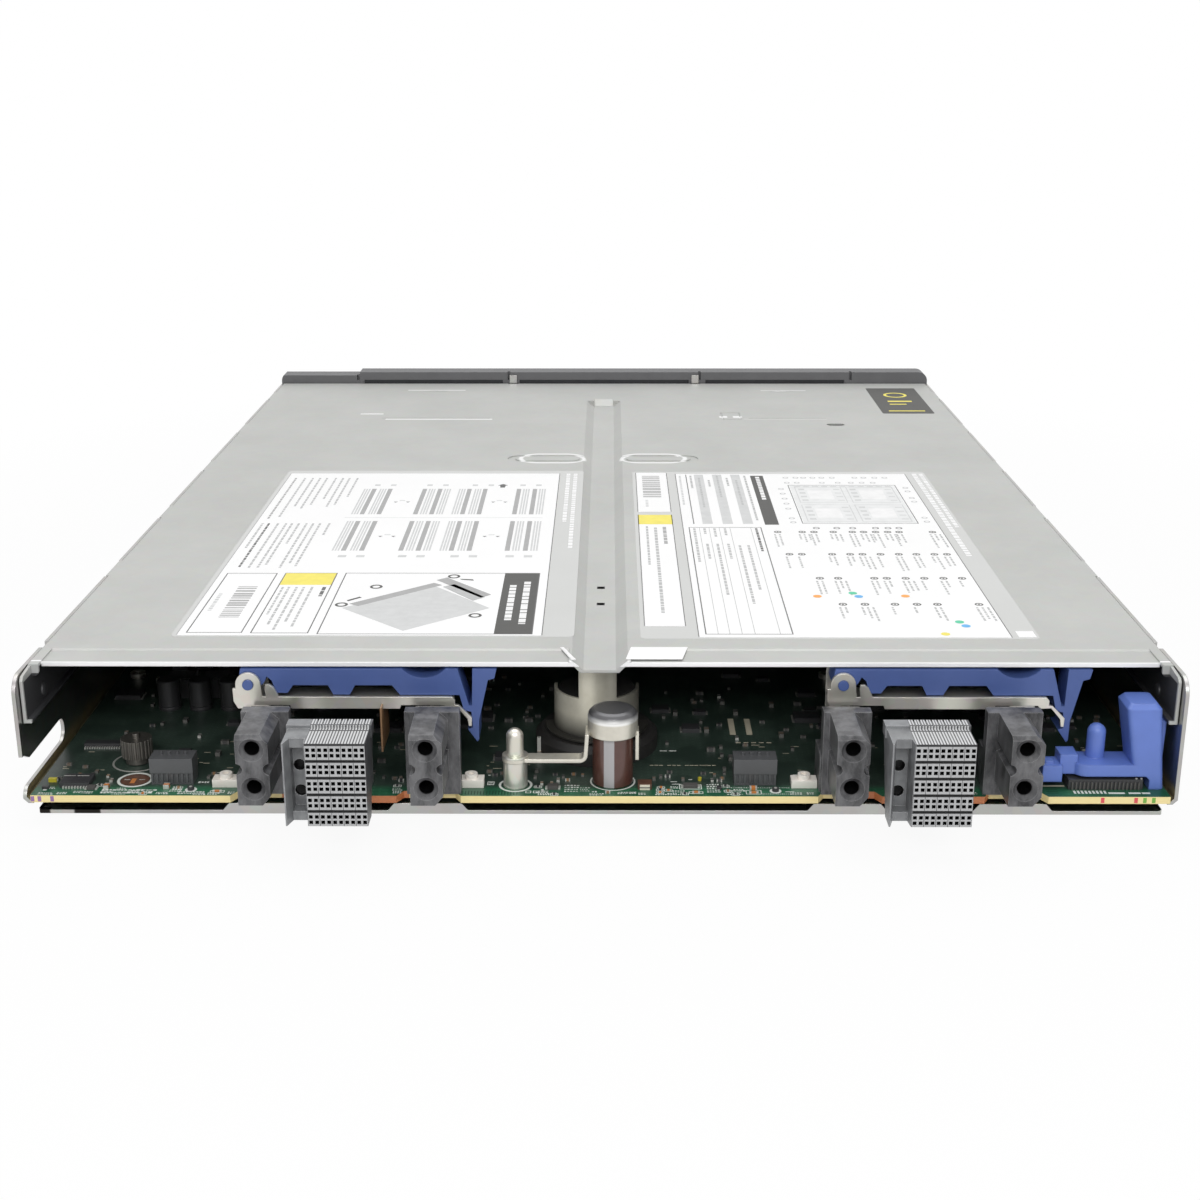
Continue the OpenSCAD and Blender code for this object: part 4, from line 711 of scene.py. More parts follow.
def label_sheets():
    """Paper and clear film under the printing."""
    z = PANEL_TOP
    film = Shape()
    film.round_box(-142.6, -192.6, z, -8.6, 33.2, z + FILM_T, 2)
    film.round_box(13.4, -194.4, z, 145.4, 31.5, z + FILM_T, 2)
    film.piece("label_film", "panel", FILM)
    paper = Shape()
    for x0, y0, x1, y1 in ((-141, -191.4, -19.2, 28), (14.8, -36.8, 28.9, 29.2), (14.8, -181.8, 28.9, -41.8),
                           (32.6, -193, 136.4, 27.4), (138.6, -192.6, 144.4, -186.6)):
        paper.box(x0, y0, z, x1, y1, z + SHEET_T)
    paper.piece("label_paper", "panel", PAPER)


# Slot diagram: the two thick bars of each group and whether fine lines stand before them; its two rows
SLOT_PAIRS = ((-99.6, -92.6, 1), (-77.5, -70.8, 0), (-58.0, -51.1, 1), (-36.4, -29.4, 0))
BAR_ROWS = ((0.5, -41.0), (-51.5, -93.6))
# Lines of writing: x and the y at which each stops
UPPER_LINES = ((-133.1, -46), (-129.6, -30), (-126.4, -32), (-123.3, -27), (-119.3, -18), (-116.1, -30),
               (-113.2, -26), (-109.6, -14))
LOWER_LINES = ((-131.7, -116), (-128.4, -117), (-126, -112), (-123.2, -84), (-120.1, -116), (-117.4, -110),
               (-114.6, -114), (-110.8, -72))


def left_label():
    """Diagram sheet left of the channel: writing, slot diagram and three boxes."""
    p = Print(PANEL_TOP + SHEET_T)
    p.words("grey", -137.2, 19.5, -48, 0.9)
    for x, stop in UPPER_LINES:
        p.words("text", x, 19.5, stop, 0.9)
    p.words("text", -138, -55, -90, 0.9)
    p.words("line", -135.4, -55, -115, 0.9)
    for x, stop in LOWER_LINES:
        p.words("text", x, -55, stop, 0.9)
    for top, bottom in BAR_ROWS:
        for first, second, before in SLOT_PAIRS:
            for x in (first, second):
                p.bar("grey", x - 0.95, bottom, x + 0.95, top)
            start = first - 6.4 if before else first
            for k in (0, 1):
                for step in (2.0, 3.1, 4.2):
                    x = start + k * (second - first) + step + 0.2
                    p.bar("pale", x - 0.35, bottom, x + 0.35, top)
        for x in (-85.2, -43.8):
            mid = (top + bottom) / 2
            for tip in (x - 2.6, x + 2.6):
                p.outline("line", [(tip, mid - 2.2), (tip + 0.9, mid - 0.8), (tip - 0.9, mid - 0.8)])
            p.bar("text", x - 1.2, mid + 0.6, x + 1.2, mid + 1.2)
    for x in (-99, -92, -76, -69, -56, -49, -35, -28):
        p.bar("pale", x - 1.6, -102.4, x + 1.6, -99.6)
        p.bar("pale", x - 1.2, 5.6, x + 1.2, 8.2)
    p.bar("pale", -106, -46.6, -24.5, -46.2)
    p.outline("line", [(-44.8, 2.8), (-42.8, 2.8), (-42.6, 6.2), (-41.6, 6.6), (-43.8, 9), (-46, 6.6),
                       (-45, 6.2)])

    # Strip-code box
    p.frame("line", -138.2, -189, -119.5, -122.7)
    p.stripes("grey", -130.7, -123.8, -138.8, -173.2)
    p.words("pale", -135.4, -147, -166, 1.3, 2.2)

    # Box with the yellow band
    p.frame("line", -116.7, -189.4, -97.3, -122.4)
    p.bar("yellow", -116.3, -136.8, -97.7, -122.8)
    p.words("line", -99.6, -139.4, -150, 1.3)
    for x, stop, width in ((-104, -184, 0.9), (-107, -178, 0.9), (-109.6, -186, 0.9), (-112.4, -181, 0.9),
                           (-114.6, -170, 0.8)):
        p.words("text", x, -139.4, stop, width)

    # Drawing of a bare tray with a card beside it, and four call-out rings
    p.frame("line", -94.4, -190.3, -22.5, -122.4)
    p.bar("dark", -35.4, -189.9, -22.9, -122.8)
    p.words("white", -31.6, -137, -176, 2.4, 6, 1)
    p.words("white", -26.6, -133, -180, 2.4, 6, 1)
    p.outline("pale", [(-90, -163), (-60, -138), (-38.5, -163), (-66, -187)])
    p.outline("grey", [(-88, -158.4), (-60.6, -134.4), (-57.4, -137), (-84.6, -161)], 1)
    p.outline("grey", [(-60, -131), (-56.4, -128), (-39, -148), (-42.4, -151.6)], 1)
    p.outline("text", [(-57, -139), (-53, -136), (-41, -151), (-45, -155)], 1)
    for x, y in ((-90.6, -159.4), (-81, -139), (-54, -126.6), (-43, -171)):
        p.ring("dark", x, y, 2.3, 0.9, 1)
    p.outline("dark", [(-89.4, -154.6), (-88.8, -155.6), (-84.6, -151.4), (-85.4, -150.6)], 1)
    p.outline("dark", [(-51.6, -129.6), (-50.8, -130.6), (-46.4, -131.6), (-46.8, -130.2)], 1)
    # Painted shade lines along the left and right edges of the paper, where it meets the film
    for colour, x in (("grey", -141), ("line", -19.5)):
        p.bar(colour, x, -191.4, x + 0.3, 28)
    p.done("left_print")
    heading("left_heading", ((-15.4, 28, -52, 1.7), (-12.2, 28, -91, 1.7)))


# Rows of call-out rings: y, then the places along X
RING_ROWS = (
    (-67.2, (70.3, 80.1, 84.8, 92.5, 100.1, 104.6, 109.4, 114.2, 118.8, 132.1)),
    (-98.0, (72.0, 76.7, 88.3, 95.2, 99.9, 106.8, 113.8, 120.5, 127.4, 132.2)),
    (-128.4, (80.1, 86.8, 100.0, 104.6, 111.5, 118.3, 125.3, 132.1)),
    (-158.5, (84.7, 92.4, 102.9, 110.6, 117.7, 132.2)),
)
COLOUR_DOTS = (("orange", 76.8, -149.6), ("orange", 108, -149.3), ("green", 89.8, -146),
               ("blue", 91.4, -149.8), ("green", 121.8, -177.4), ("blue", 123.2, -181.5),
               ("yellow", 114.8, -189.7))


def right_label():
    """Sheets right of the channel: a strip-code tag, a note, and the large board diagram."""
    p = Print(PANEL_TOP + SHEET_T)
    p.stripes("grey", 17.6, 25.4, 23.5, -14)
    p.words("pale", 19, -18, -30, 1.2, 2.2)
    p.bar("yellow", 14.8, -56, 28.9, -41.8)
    p.words("text", 18.2, -59, -112, 0.9)
    p.words("text", 21.6, -61, -168, 1.2)
    p.words("grey", 25.2, -60, -84, 1.4)

    # Upper table
    p.bar("line", 37.2, -55.6, 37.6, 26)
    for x in (41.0, 49.2, 57.4):
        p.bar("pale", x, -55.4, x + 4.1, 26)
    for x, top, stop in ((39.4, 24, 2), (43, 20, -30), (47.2, 16, 4), (51.2, 24, -14), (55.4, 20, 6),
                         (59.4, 16, -26), (63.6, 24, -50)):
        p.words("text", x, top, stop, 0.9, layer=1)
    p.words("pale", 34.6, 24, -26, 0.9)
    p.bar("dark", 66.2, -56.6, 71.9, 24)
    p.words("white", 69.2, 22, -18, 1.8, 4.4, 1)

    # Lower table
    p.frame("line", 35.0, -190.2, 64.3, -60.6)
    for x in (39.3, 43.2, 47.3, 51.6, 60.0):
        p.bar("text", x - 0.12, -190, x + 0.12, -60.8)
    for x, top, stop in ((37.2, -62, -108), (41.3, -62, -70), (41.3, -84, -104), (45.3, -62, -74),
                         (45.3, -84, -148), (49.5, -62, -72), (49.5, -84, -104), (53.8, -86, -158),
                         (57.2, -86, -142)):
        p.words("text", x, top, stop, 1.0)
    p.words("line", 62.1, -62, -94, 1.0)

    # Board diagram with its call-out rings
    p.frame("line", 81.5, -54.7, 128.8, 7.4, 0.35)
    p.bar("faint", 82.2, -54, 128.1, 6.8)
    for x in (84, 106.4):
        for y in (-52, -22.4):
            p.frame("pale", x, y, x + 20.4, y + 26.4, 0.4, 1)
            p.bar("white", x + 5, y + 6, x + 15.4, y + 20.4, 1)
            for k in range(4):
                p.bar("pale", x + 1.4, y + 3 + 6 * k, x + 4, y + 5.4 + 6 * k, 1)
                p.bar("pale", x + 16.6, y + 3.4 + 6 * k, x + 19.4, y + 4.6 + 6 * k, 1)
    for k in range(11):
        p.bar("pale", 84 + 4 * k, 3.8, 86.6 + 4 * k, 5.2, 1)
    for x in (81.8, 86.3, 89.8, 93.9, 97.9, 102.6, 112.7, 116.7, 121.6, 126.1):
        p.ring("text", x, 20.4, 1.35, 0.5)
    for x in (81.6, 86, 97.1, 104.1, 109.9, 114.7, 119.6):
        p.ring("text", x, 11.4, 1.3, 0.5)
    for x, places in ((78, (0.6, -7.4, -15.8, -24, -32, -47, -53)),
                      (132.6, (2.6, -3.4, -14.6, -20.6, -46, -52))):
        for y in places:
            p.ring("text", x, y, 1.3, 0.5)
    for y, places in RING_ROWS:
        for x in places:
            p.ring("dark", x, y, 1.5, 0.55)
            p.bar("dark", x - 0.35, y - 0.5, x + 0.35, y + 0.5)
            for k in range(dice.choice((1, 2, 2, 3))):
                p.words("text", x - 1.4 + 1.9 * k, y - 3.2, y - 3.2 - dice.uniform(7, 19), 0.75, 3.2)
    for x in (86.4, 94.6, 101, 110.2, 115.2, 119.6):
        p.ring("line", x, -61.6, 1.4, 0.5)
    for colour, x, y in COLOUR_DOTS:
        p.dot(colour, x, y, 1.55, 1)
    # Painted shade lines along the left and right edges of each paper sheet, where it meets the film
    for x0, x1, y0, y1 in ((14.8, 28.6, -36.8, 29.2), (14.8, 28.6, -181.8, -41.8), (32.6, 136.1, -193, 27.4)):
        p.bar("line", x0, y0, x0 + 0.3, y1)
        p.bar("line", x1, y0, x1 + 0.3, y1)
    p.done("right_print")
    heading("right_heading", ((140.4, 28, -100, 2.1), (143.4, 28, -60, 1.7)))


def corner_sticker():
    """Plain dark sticker near the front right corner, with simple pale marks."""
    low = PANEL_TOP + STICKER_T
    high = low + INK_T
    sheet = Shape()
    sheet.round_box(146, 157, PANEL_TOP, 173, 223, low, 1)
    sheet.piece("corner_sticker", "panel", INKS["dark"])
    marks = Shape()
    marks.ring(159.5, 204, 6.4, 1.6, low, high, 24)
    for x0, y0, x1, y1 in ((153, 186, 166, 189), (153, 179, 162, 181), (150, 162, 169, 164)):
        marks.box(x0, y0, low, x1, y1, high)
    marks.piece("corner_sticker_marks", "panel", INKS["yellow"])


def channel_mouth_marks():
    """A blank white patch, and a short ridge in white ink as a painted highlight, where the channel widens at
    the rear.
    """
    patch = Shape()
    patch.prism([(8.3, -214.0), (26.4, -214.0), (28.6, -202.6), (10.1, -202.6)],
                PANEL_TOP, PANEL_TOP + SHEET_T)
    patch.piece("blank_patch", "panel", PAPER)
    # Painted highlight: a thin raised ridge in white ink for the bright ridge of a pressing
    ridge = Shape()
    ridge.prism([(-13.0, -203.0), (-9.1, -214.4), (-7.6, -214.4), (-11.7, -203.0)],
                PANEL_TOP - 0.2, PANEL_TOP + 0.3)
    ridge.piece("channel_ridge_highlight", "panel", INKS["white"], bevel=0.2)


label_sheets()
channel_mouth_marks()
left_label()
right_label()
corner_sticker()


# ---- small parts on the board
# Near-black finish put at the backs of the key bores as painted shade
BORE_SHADE = surface("unlit_bore", (14, 14, 15), roughness=0.8, rounding=0)
BOARD_FINISHES = {
    "silk": ink("silk_white", (226, 230, 224)),
    "shaded_silk": ink("silk_pale", (206, 198, 176)),
    "via": ink("via_row", (20, 58, 38)),
    "black": surface("chip_body", (56, 56, 58), roughness=0.4, rounding=0.1),
    "grey": surface("chip_grey", (84, 82, 80), roughness=0.5, rounding=0.1),
    "tin": surface("tinned_ends", (214, 214, 208), metallic=0.5, roughness=0.35, rounding=0.08),
    # Painted shade: darker copies of the tinned ends and of the grey and tan bodies, for parts under the
    # panel
    "shaded_tin": surface("shaded_ends", (116, 115, 111), metallic=0.3, roughness=0.45, rounding=0.08),
    "dim_grey": surface("shaded_body", (82, 81, 80), roughness=0.5, rounding=0.08),
    "dim_tan": surface("shaded_ceramic", (112, 100, 88), roughness=0.45, rounding=0.08),
    "tan": surface("ceramic_body", (150, 116, 84), roughness=0.4, rounding=0.08),
    "orange": surface("copper_ceramic", (206, 128, 66), roughness=0.4, rounding=0.08),
    "brown": surface("bare_pad", (96, 66, 52), roughness=0.35, mottle=0.2, mottle_size=2, rounding=0),
    "yellow": surface("yellow_chip", (196, 184, 52), roughness=0.4, rounding=0.08),
    "cream": surface("cream_part", (232, 226, 206), roughness=0.4, rounding=0.08),
    "red_dab": ink("dab_red", (222, 84, 92)),
    "green_dab": ink("dab_green", (120, 178, 74)),
    "purple_dab": ink("dab_purple", (150, 116, 166)),
}


STANDING = ("board_headers", "mount_blocks", "power_sockets_left", "power_sockets_right",
            "signal_connector_left", "signal_connector_right", "guide_post", "capacitor", "thumbscrew",
            "board_handle", "filter_choke", "latch_bracket_left", "latch_bracket_right", "memory_sockets",
            "regulator_chokes", "bulk_capacitors", "board_screws")


def keep_out_boxes():
    """Floor boxes of the CAD pieces that stand on the board, one for each cluster along X."""
    boxes = []
    for name in STANDING:
        points = sorted(((v.co / MM) for v in nodes[name].data.vertices), key=lambda q: q.x)
        group = [points[0]]
        for point in points[1:] + [points[-1] + Vector((99, 0, 0))]:
            if point.x - group[-1].x > 8:
                ys = [q.y for q in group]
                boxes.append((group[0].x - 1, min(ys) - 1, group[-1].x + 1, max(ys) + 1))
                group = []
            group.append(point)
    return boxes


class Board:
    """Small parts and legend on the system board, one mesh for each finish."""

    def __init__(self):
        self.shapes = {key: Shape() for key in BOARD_FINISHES}
        self.taken = keep_out_boxes()
        self.rng = random.Random(21)

    def block(self, finish, x, y, w, d, h, foot=0.0):
        self.shapes[finish].box(x - w / 2, y - d / 2, BOARD_TOP + foot,
                                x + w / 2, y + d / 2, BOARD_TOP + foot + h)

    def mark(self, x, y, w, d, finish="silk"):
        """A printed stroke."""
        self.block(finish, x, y, w, d, INK_T)

    def outline(self, x, y, w, d, line=0.25):
        self.shapes["silk"].frame(x - w / 2, y - d / 2, x + w / 2, y + d / 2, line, BOARD_TOP,
                                  BOARD_TOP + INK_T)

    def disc(self, finish, x, y, r, h, sides, foot=0.0):
        self.shapes[finish].disc(x, y, r, BOARD_TOP + foot, BOARD_TOP + h, sides)

    def ring(self, x, y, r, width, sides=32, finish="silk", h=0.04):
        self.shapes[finish].ring(x, y, r, width, BOARD_TOP, BOARD_TOP + h, sides)

    def row(self, finish, count, x, pitch, y, w, d, h=INK_T):
        """Equal blocks in a row along X."""
        for k in range(count):
            self.block(finish, x + pitch * k, y, w, d, h)

    def pair(self, finish, x, y, apart, w, d, h, turned=False):
        """Two equal blocks on both sides of a place, in X or, if turned, in Y."""
        for side in (-1, 1):
            shift = side * apart
            self.block(finish, x + (0 if turned else shift), y + (shift if turned else 0), w, d, h)

    def claim(self, x, y, w, d):
        """Keeps later random parts off this place."""
        self.taken.append((x - w / 2, y - d / 2, x + w / 2, y + d / 2))

    def chip(self, x, y, w, d, h, finish="black"):
        """A chip with a row of legs along both short sides."""
        self.block(finish, x, y, w, d, h)
        legs = max(3, int(d / 0.9))
        # Painted shade: legs under the panel take the shaded tin
        metal = "tin" if y < PANEL_REAR else "shaded_tin"
        for k in range(legs):
            self.pair(metal, x, y - d / 2 + (k + 0.5) * d / legs, w / 2 + 0.35, 0.7, 0.34, 0.35)
        self.claim(x, y, w + 1.6, d + 0.2)

    def ceramic(self, x, y, w, d, finish="tan", turned=False):
        """A chip resistor or capacitor with bright ends."""
        h, end = 0.75 * min(w, d), 0.24 * max(w, d)
        # Painted shade: ends under the panel mostly take the shaded tin
        metal = "tin" if y < PANEL_REAR - 6 or self.rng.random() < 0.12 else "shaded_tin"
        if turned:
            self.block(finish, x, y, w, d - 2 * end, h)
            self.pair(metal, x, y, (d - end) / 2, w, end, h, True)
        else:
            self.block(finish, x, y, w - 2 * end, d, h)
            self.pair(metal, x, y, (w - end) / 2, end, d, h)
        self.claim(x, y, w, d)

    def strokes(self, x, y, length, rows=1, pitch=1.1, w=0.75, d=0.75):
        """Rows of short upright strokes in place of a printed legend."""
        for row in range(rows):
            across = x
            while across < x + length:
                step = self.rng.uniform(0.5, 1.0) * w
                self.mark(across + step / 2, y - row * pitch, step, d * self.rng.uniform(0.35, 1))
                across += step + 0.28

    def place(self, w, d, x_range, y_range, margin):
        """A free place for a part of that footprint, or None."""
        for _ in range(60):
            x, y = self.rng.uniform(*x_range), self.rng.uniform(*y_range)
            if all(x + w / 2 + margin < x0 or x - w / 2 - margin > x1
                   or y + d / 2 + margin < y0 or y - d / 2 - margin > y1
                   for x0, y0, x1, y1 in self.taken):
                self.claim(x, y, w, d)
                return x, y
        return None

    def scatter(self, count, w, d, y_range, finishes, margin=0.3):
        """Random ceramics."""
        for _ in range(count):
            turned = self.rng.random() < 0.5
            a, b = (d, w) if turned else (w, d)
            spot = self.place(a, b, (-176, 176), y_range, margin)
            if spot:
                self.ceramic(*spot, a, b, self.rng.choice(finishes), turned)

    def done(self):
        for key, shape in self.shapes.items():
            shape.piece(f"board_{key}", "chassis", BOARD_FINISHES[key])


def left_corner_parts(board):
    """What stands left of the left connector group."""
    board.block("yellow", -175.9, -223.1, 2.6, 1.3, 1.2)
    board.block("black", -176.6, -228.4, 2.2, 1.4, 0.9)
    board.mark(-176.6, -229.6, 1.2, 0.8)
    # Flat-cable socket with its row of pads
    board.block("black", -167.6, -224.3, 9.4, 7.4, 1.7)
    board.row("tin", 9, -171.0, 0.93, -228.4, 0.5, 0.9, 0.7)
    for x in (-170.6, -166.2):
        board.block("tin", x, -222.3, 3.8, 0.35, 0.06, 1.7)
    board.claim(-167.6, -224.6, 10.6, 9)
    # Round mark with a bare pad
    board.ring(-149.8, -221.8, 5.7, 0.9)
    board.disc("brown", -149.8, -221.8, 4.6, INK_T, 28)
    board.block("orange", -150.2, -222.6, 1.5, 3.6, 0.05, INK_T)
    for x in (-152.4, -147.6):
        board.block("tin", x, -221.6, 1.9, 0.35, 0.05, INK_T)
    board.claim(-149.8, -221.8, 11.6, 11.6)
    board.ring(-152.5, -207.2, 8.4, 0.7, 36, "tin", 0.05)
    board.claim(-152.5, -207.2, 17, 17)
    board.ceramic(-157.3, -227.9, 1.6, 2.6, "orange", True)
    board.strokes(-158.4, -229.6, 16.4, 2, 1.8, 1.3, 1.4)
    board.ceramic(-138.1, -227.9, 1.8, 2.2, "orange", True)
    board.chip(-162.0, -228.6, 2.6, 2.2, 1.0, "grey")
    board.strokes(-136.2, -227.3, 3.4, 2, 1.6, 0.8, 1.3)
    round_part(board, -130.1, -229.2)
    board.strokes(-133.8, -231.0, 8.6, 2, 1.1, 0.8, 0.8)
    board.strokes(-129.0, -223.5, 3.4, 1, 1.2, 0.8, 1.2)
    board.outline(-121.4, -230.7, 4.6, 1.7)
    board.ceramic(-121.4, -230.7, 3.0, 0.7, "orange")
    board.row("tin", 15, -173.3, 0.82, -196.1, 0.4, 1.1, 0.5)
    board.block("black", -167.4, -193.6, 13.0, 3.4, 1.4)
    board.claim(-167.4, -194.6, 14, 5)


def round_part(board, x, y):
    """A small black button part on a white field."""
    board.disc("silk", x, y, 1.9, INK_T, 16)
    board.disc("black", x, y, 1.1, 1.1, 14)
    board.disc("tin", x, y, 0.5, 1.2, 12, 1.1)
    board.claim(x, y, 4, 4)


def middle_parts(board):
    """What stands between the connector groups."""
    board.outline(-34.9, -224.0, 2.2, 2.6)
    for y in (-223.4, -224.6):
        board.mark(-34.9, y, 1.2, 0.3)
    board.ring(-26.9, -225.3, 5.4, 0.75)
    board.row("via", 20, -44.4, 0.96, -231.2, 0.32, 2.8)
    board.claim(-33, -229, 22, 8)
    for x in (-22.6, -20.2):
        board.outline(x, -230.6, 1.8, 1.7)
    board.mark(-18.2, -229.6, 0.8, 2.4)
    board.chip(-14.9, -227.6, 3.4, 2.8, 1.1, "grey")
    board.strokes(-11.2, -225.6, 4.2, 4, 1.5, 0.9, 0.9)
    board.strokes(-6.2, -227.4, 2.6, 3, 1.2, 0.7, 0.5)
    board.claim(-8, -228, 8, 7)
    board.strokes(-2.4, -230.4, 1.6, 1, 1.2, 0.7, 1.5)
    board.ring(4.2, -222.3, 7.3, 0.5, 36)
    board.claim(4.2, -222.3, 15, 15)
    board.strokes(8.4, -231.0, 2.6, 1, 1.2, 0.7, 1.1)
    # Two-lead part with a cream front
    board.block("brown", 14.4, -227.0, 4.4, 3.4, 2.0)
    board.block("cream", 14.4, -228.9, 3.2, 0.5, 1.7)
    board.block("black", 14.4, -229.16, 3.2, 0.06, 0.3, 0.7)
    board.claim(14.4, -227.6, 6, 5)
    for x, y in ((19.6, -227.2), (21.9, -229.4), (19.2, -231.0)):
        board.outline(x, y, 2.6, 1.4, 0.22)
        board.ceramic(x, y, 1.5, 0.6, "orange")
    board.strokes(17.6, -232.4, 9.4, 1, 1.0, 0.7, 0.9)
    board.outline(29.0, -226.6, 7.2, 3.6, 0.3)
    board.chip(29.0, -226.6, 4.6, 2.4, 1.0, "grey")
    board.disc("yellow", 32.2, -221.6, 0.6, 1.1, 10)
    board.strokes(34.2, -224.8, 3.6, 5, 1.4, 0.8, 0.8)
    board.outline(30.6, -230.9, 4.6, 1.6)
    board.ceramic(30.6, -230.9, 2.4, 0.7, "orange")
    board.block("black", 38.1, -228.0, 1.6, 1.6, 0.8)
    board.claim(34, -228, 9, 8)
    board.ceramic(48.9, -228.6, 2.4, 1.5, "orange")
    board.outline(48.9, -230.6, 5.0, 3.0)
    board.ceramic(48.9, -231.2, 3.0, 0.7, "orange")
    board.claim(48.9, -229.6, 6, 6)
    round_part(board, 55.9, -229.6)
    board.strokes(51.6, -231.9, 9.6, 1, 1.2, 0.5, 0.5)
    board.strokes(40.6, -227.2, 19.6, 1, 1.4, 0.45, 0.5)
    board.strokes(40.4, -229.6, 4.6, 3, 1.3, 0.6, 0.6)
    # Legend seen deeper inside
    for group in range(4):
        for k in range(3):
            board.mark(17.0 + 5.8 * group + 1.55 * k, -209.6, 1.2, 0.45, "shaded_silk")
    for x in (21.2, 24.3):
        board.mark(x, -197.6, 2.4, 0.7)
    board.row("shaded_silk", 5, 46.8, 2.6, -190.5, 1.6, 0.6)
    for x in (45.5, 51.2):
        board.mark(x, -176.4, 2.0, 14.4, "shaded_silk")
    board.claim(48.4, -176.4, 9, 15)
    board.ceramic(-20.3, -200.0, 1.4, 4.0, "tan", True)
    board.block("tin", -20.3, -200.0, 1.2, 1.2, 6.0)


def right_corner_parts(board):
    """What stands under and beside the blue handle."""
    board.block("black", 160.8, -224.4, 23.6, 7.4, 3.4)
    board.row("grey", 18, 150.2, 1.24, -228.4, 0.5, 0.5, 2.6)
    for x in (170.6, 172.2):
        board.disc("tin", x, -227.4, 0.4, 3.7, 10, 3.4)
    board.row("silk", 9, 150.6, 1.2, -230.2, 0.7, 2.2)
    for x, w in ((163.7, 5.2), (169.4, 3.8), (173.0, 2.6)):
        board.mark(x, -230.9, w, 1.1)
    board.mark(144.8, -225.4, 7.4, 0.9, "shaded_silk")
    for k in range(4):
        board.mark(143.6, -227.0 - 1.3 * k, 3.6, 0.25, "via")
    board.claim(161, -225, 32, 14)
    # Dabs of paint on the board's rear edge
    for finish, places in (("red_dab", (158.6, 169.1)), ("green_dab", (171.9, 174.7)),
                           ("purple_dab", (-179.4, -177.2, -173.2))):
        for x in places:
            board.shapes[finish].box(x - 0.5, BOARD_REAR - 0.05, BOARD_TOP - 2.1, x + 0.6, BOARD_REAR,
                                     BOARD_TOP - 0.3)


def board_parts():
    """The measured parts first, then random ones on the strip that shows and in the dark behind it."""
    board = Board()
    left_corner_parts(board)
    middle_parts(board)
    right_corner_parts(board)
    strip = (BOARD_REAR + 1.2, PANEL_REAR)
    inside = (PANEL_REAR, -126)
    front = (BOARD_REAR + 1.2, BOARD_REAR + 8)
    for _ in range(34):
        w = board.rng.uniform(1.6, 4.2)
        spot = board.place(w, 1.6, (-176, 140), front, 0.2)
        if spot:
            board.strokes(spot[0] - w / 2, spot[1] + 0.4, w, 2, 0.9, 0.7, 0.7)
    for _ in range(24):
        spot = board.place(2.6, 1.7, (-176, 140), front, 0.2)
        if spot:
            board.outline(*spot, 2.6, 1.6, 0.22)
            board.ceramic(*spot, 1.5, 0.7, board.rng.choice(("orange", "tan", "black", "black")))
    board.scatter(30, 1.6, 0.9, strip, ("black", "tan"))
    # Painted shade: parts beyond the lit strip take the shaded copies of their finishes
    board.scatter(30, 1.8, 1.0, (BOARD_REAR + 8, PANEL_REAR), ("dim_tan", "black", "dim_grey"))
    for w, d, h, count in ((9, 7, 1.6, 7), (6, 5, 1.4, 12), (4, 3.4, 1.2, 16)):
        for _ in range(count):
            spot = board.place(w + 1.6, d, (-172, 172), inside, 0.5)
            if spot:
                board.chip(*spot, w, d, h)
    # Painted shade: parts under the panel take the shaded copies of their finishes
    board.scatter(120, 1.9, 1.1, inside, ("dim_grey", "dim_tan", "black"))
    board.scatter(40, 2.8, 1.6, inside, ("dim_grey", "dim_tan"))
    for _ in range(70):
        w = board.rng.choice((0.8, 1.2, 2.0, 2.8))
        spot = board.place(w, 0.5, (-176, 176), (BOARD_REAR + 1, -190), 0.15)
        if spot:
            board.mark(*spot, w, 0.35, "silk" if spot[1] < PANEL_REAR else "shaded_silk")
    board.done()


def loose_details():
    """The thin card beside the left signal connector, and near-black plates as painted shade at the backs of
    the key bores.
    """
    card = Shape()
    card.box(-69.9, -221.8, 20.4, -69.3, -205, 35.4)
    card.piece("divider_card", "chassis", BOARD_FINISHES["tan"], bevel=0.1)
    # Painted shade: near-black plates at the backs of the key bores
    backs = Shape()
    for side in ("signal_connector_left", "signal_connector_right"):
        low = corners(side)[0][0] + 0.5
        backs.box(low + 1, CAD_REAR + 15, 15.5, low + 6.2, CAD_REAR + 15.6, 34)
    backs.piece("key_bore_shade", "chassis", BORE_SHADE, bevel=0.1)


board_parts()
loose_details()


# ---- camera, lamps and floor
FLOOR_HALF = 6.0  # metres
FLOOR_TONE = 0.85


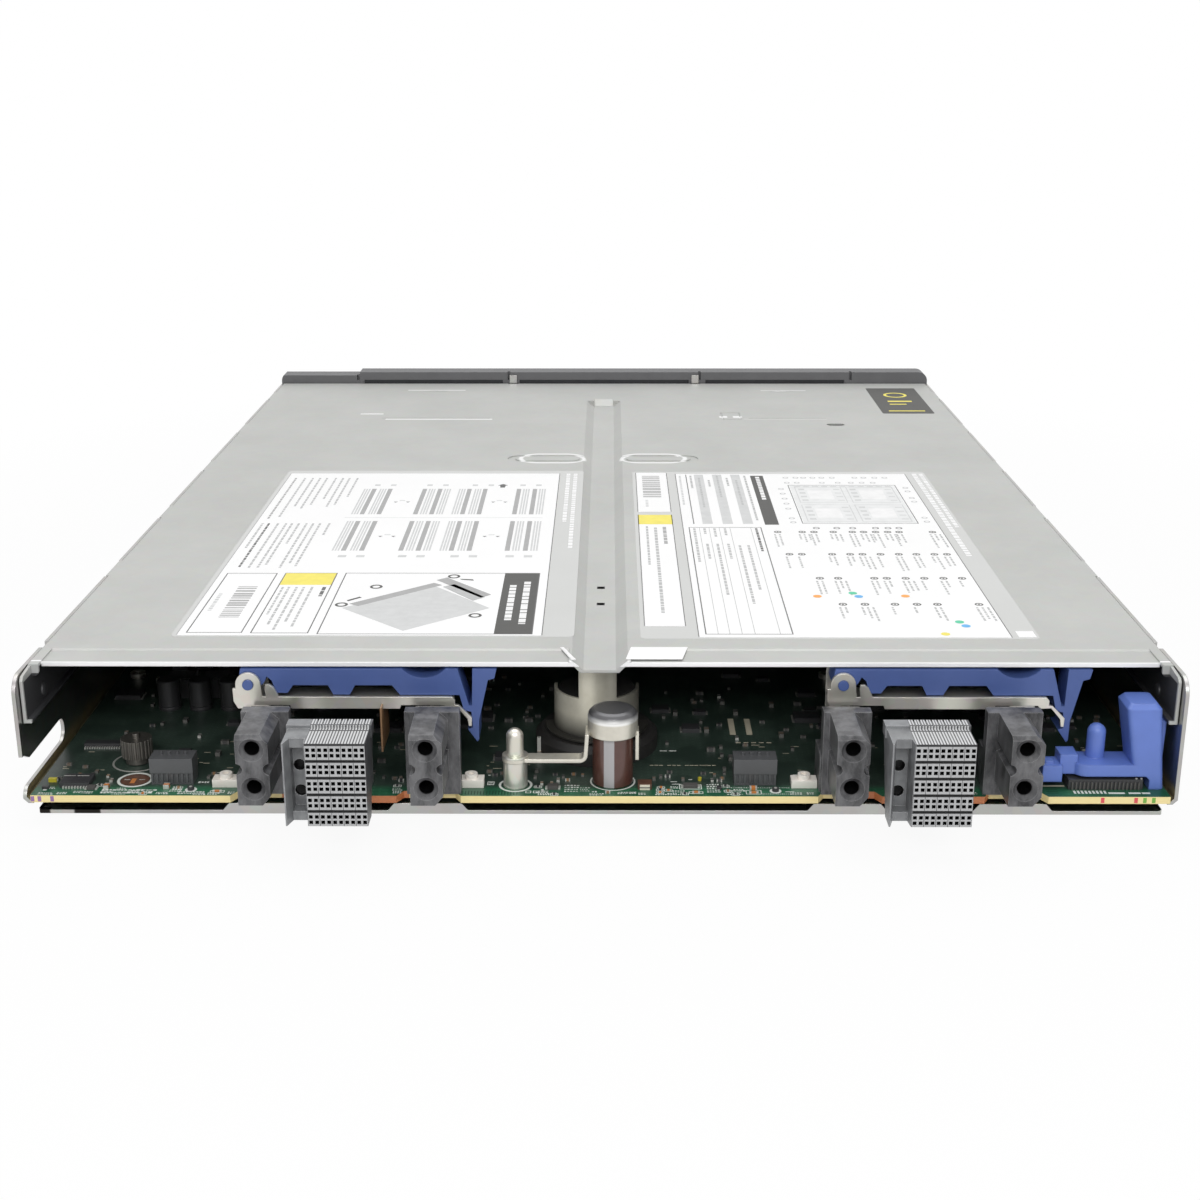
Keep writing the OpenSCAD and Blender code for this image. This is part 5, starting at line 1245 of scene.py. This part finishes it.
def camera(place, focal_length, turn):
    """Camera at a place in millimetres, turned by angles in degrees."""
    data = bpy.data.cameras.new("camera")
    data.sensor_width = 36
    data.lens = focal_length
    data.clip_start, data.clip_end = 0.01, 20
    thing = show("camera", data)
    thing.location = [v * MM for v in place]
    thing.rotation_euler = [math.radians(v) for v in turn]
    bpy.context.scene.camera = thing


def lamp(name, place, target, size, watts):
    """A soft rectangular lamp that faces a target point."""
    data = bpy.data.lights.new(name, "AREA")
    data.shape = "RECTANGLE"
    data.size, data.size_y = size
    data.energy = watts
    thing = show(name, data)
    thing.location = place
    thing.rotation_euler = (Vector(target) - Vector(place)).to_track_quat("-Z", "Y").to_euler()


def world(strength):
    """Even light; the camera and reflections see white."""
    made = bpy.data.worlds.new("studio")
    bpy.context.scene.world = made
    n = Nodes(made, "ShaderNodeOutputWorld")
    seen = n.seen("Is Camera Ray", "Is Transmission Ray", "Is Glossy Ray")
    n.blend(seen, n.even("ShaderNodeBackground", 1, Strength=strength),
            n.even("ShaderNodeBackground", 1, Strength=1.0))


def floor():
    """Pale floor: the camera and reflections see white, with a soft shadow close round the object."""
    data = bpy.data.meshes.new("floor")
    data.from_pydata([(x * FLOOR_HALF, y * FLOOR_HALF, 0) for x, y in ((-1, -1), (1, -1), (1, 1), (-1, 1))],
                     [], [(0, 1, 2, 3)])
    material = bpy.data.materials.new("floor_white")
    n = Nodes(material, "ShaderNodeOutputMaterial")
    # Share of plain white: most of it under the object, all of it from a little way out
    away = n.add("ShaderNodeVectorMath", operation="LENGTH")
    n.link(n.add("ShaderNodeTexCoord").outputs["Object"], away.inputs[0])
    white = n.ramp(away.outputs["Value"], 0.26, 0.5, 0.93, 1.0)
    share = n.math("MULTIPLY", n.seen("Is Camera Ray", "Is Glossy Ray"), white)
    n.blend(share, n.even("ShaderNodeBsdfDiffuse", FLOOR_TONE), n.even("ShaderNodeEmission", 1, Strength=1.0))
    data.materials.append(material)
    thing = show("floor", data)


camera((3.07, -732.3, 240.7), 51.88, (90 - 18.31, 0.05, 0.31))
world(0.3)
lamp("overhead", (0, 0.25, 1.5), (0, 0, 0), (1.6, 1.6), 14.5)
lamp("front", (0.05, -1.5, 1.0), (0, -0.2, 0.02), (1.2, 0.6), 13)
floor()
bpy.context.scene.view_settings.view_transform = "Standard"
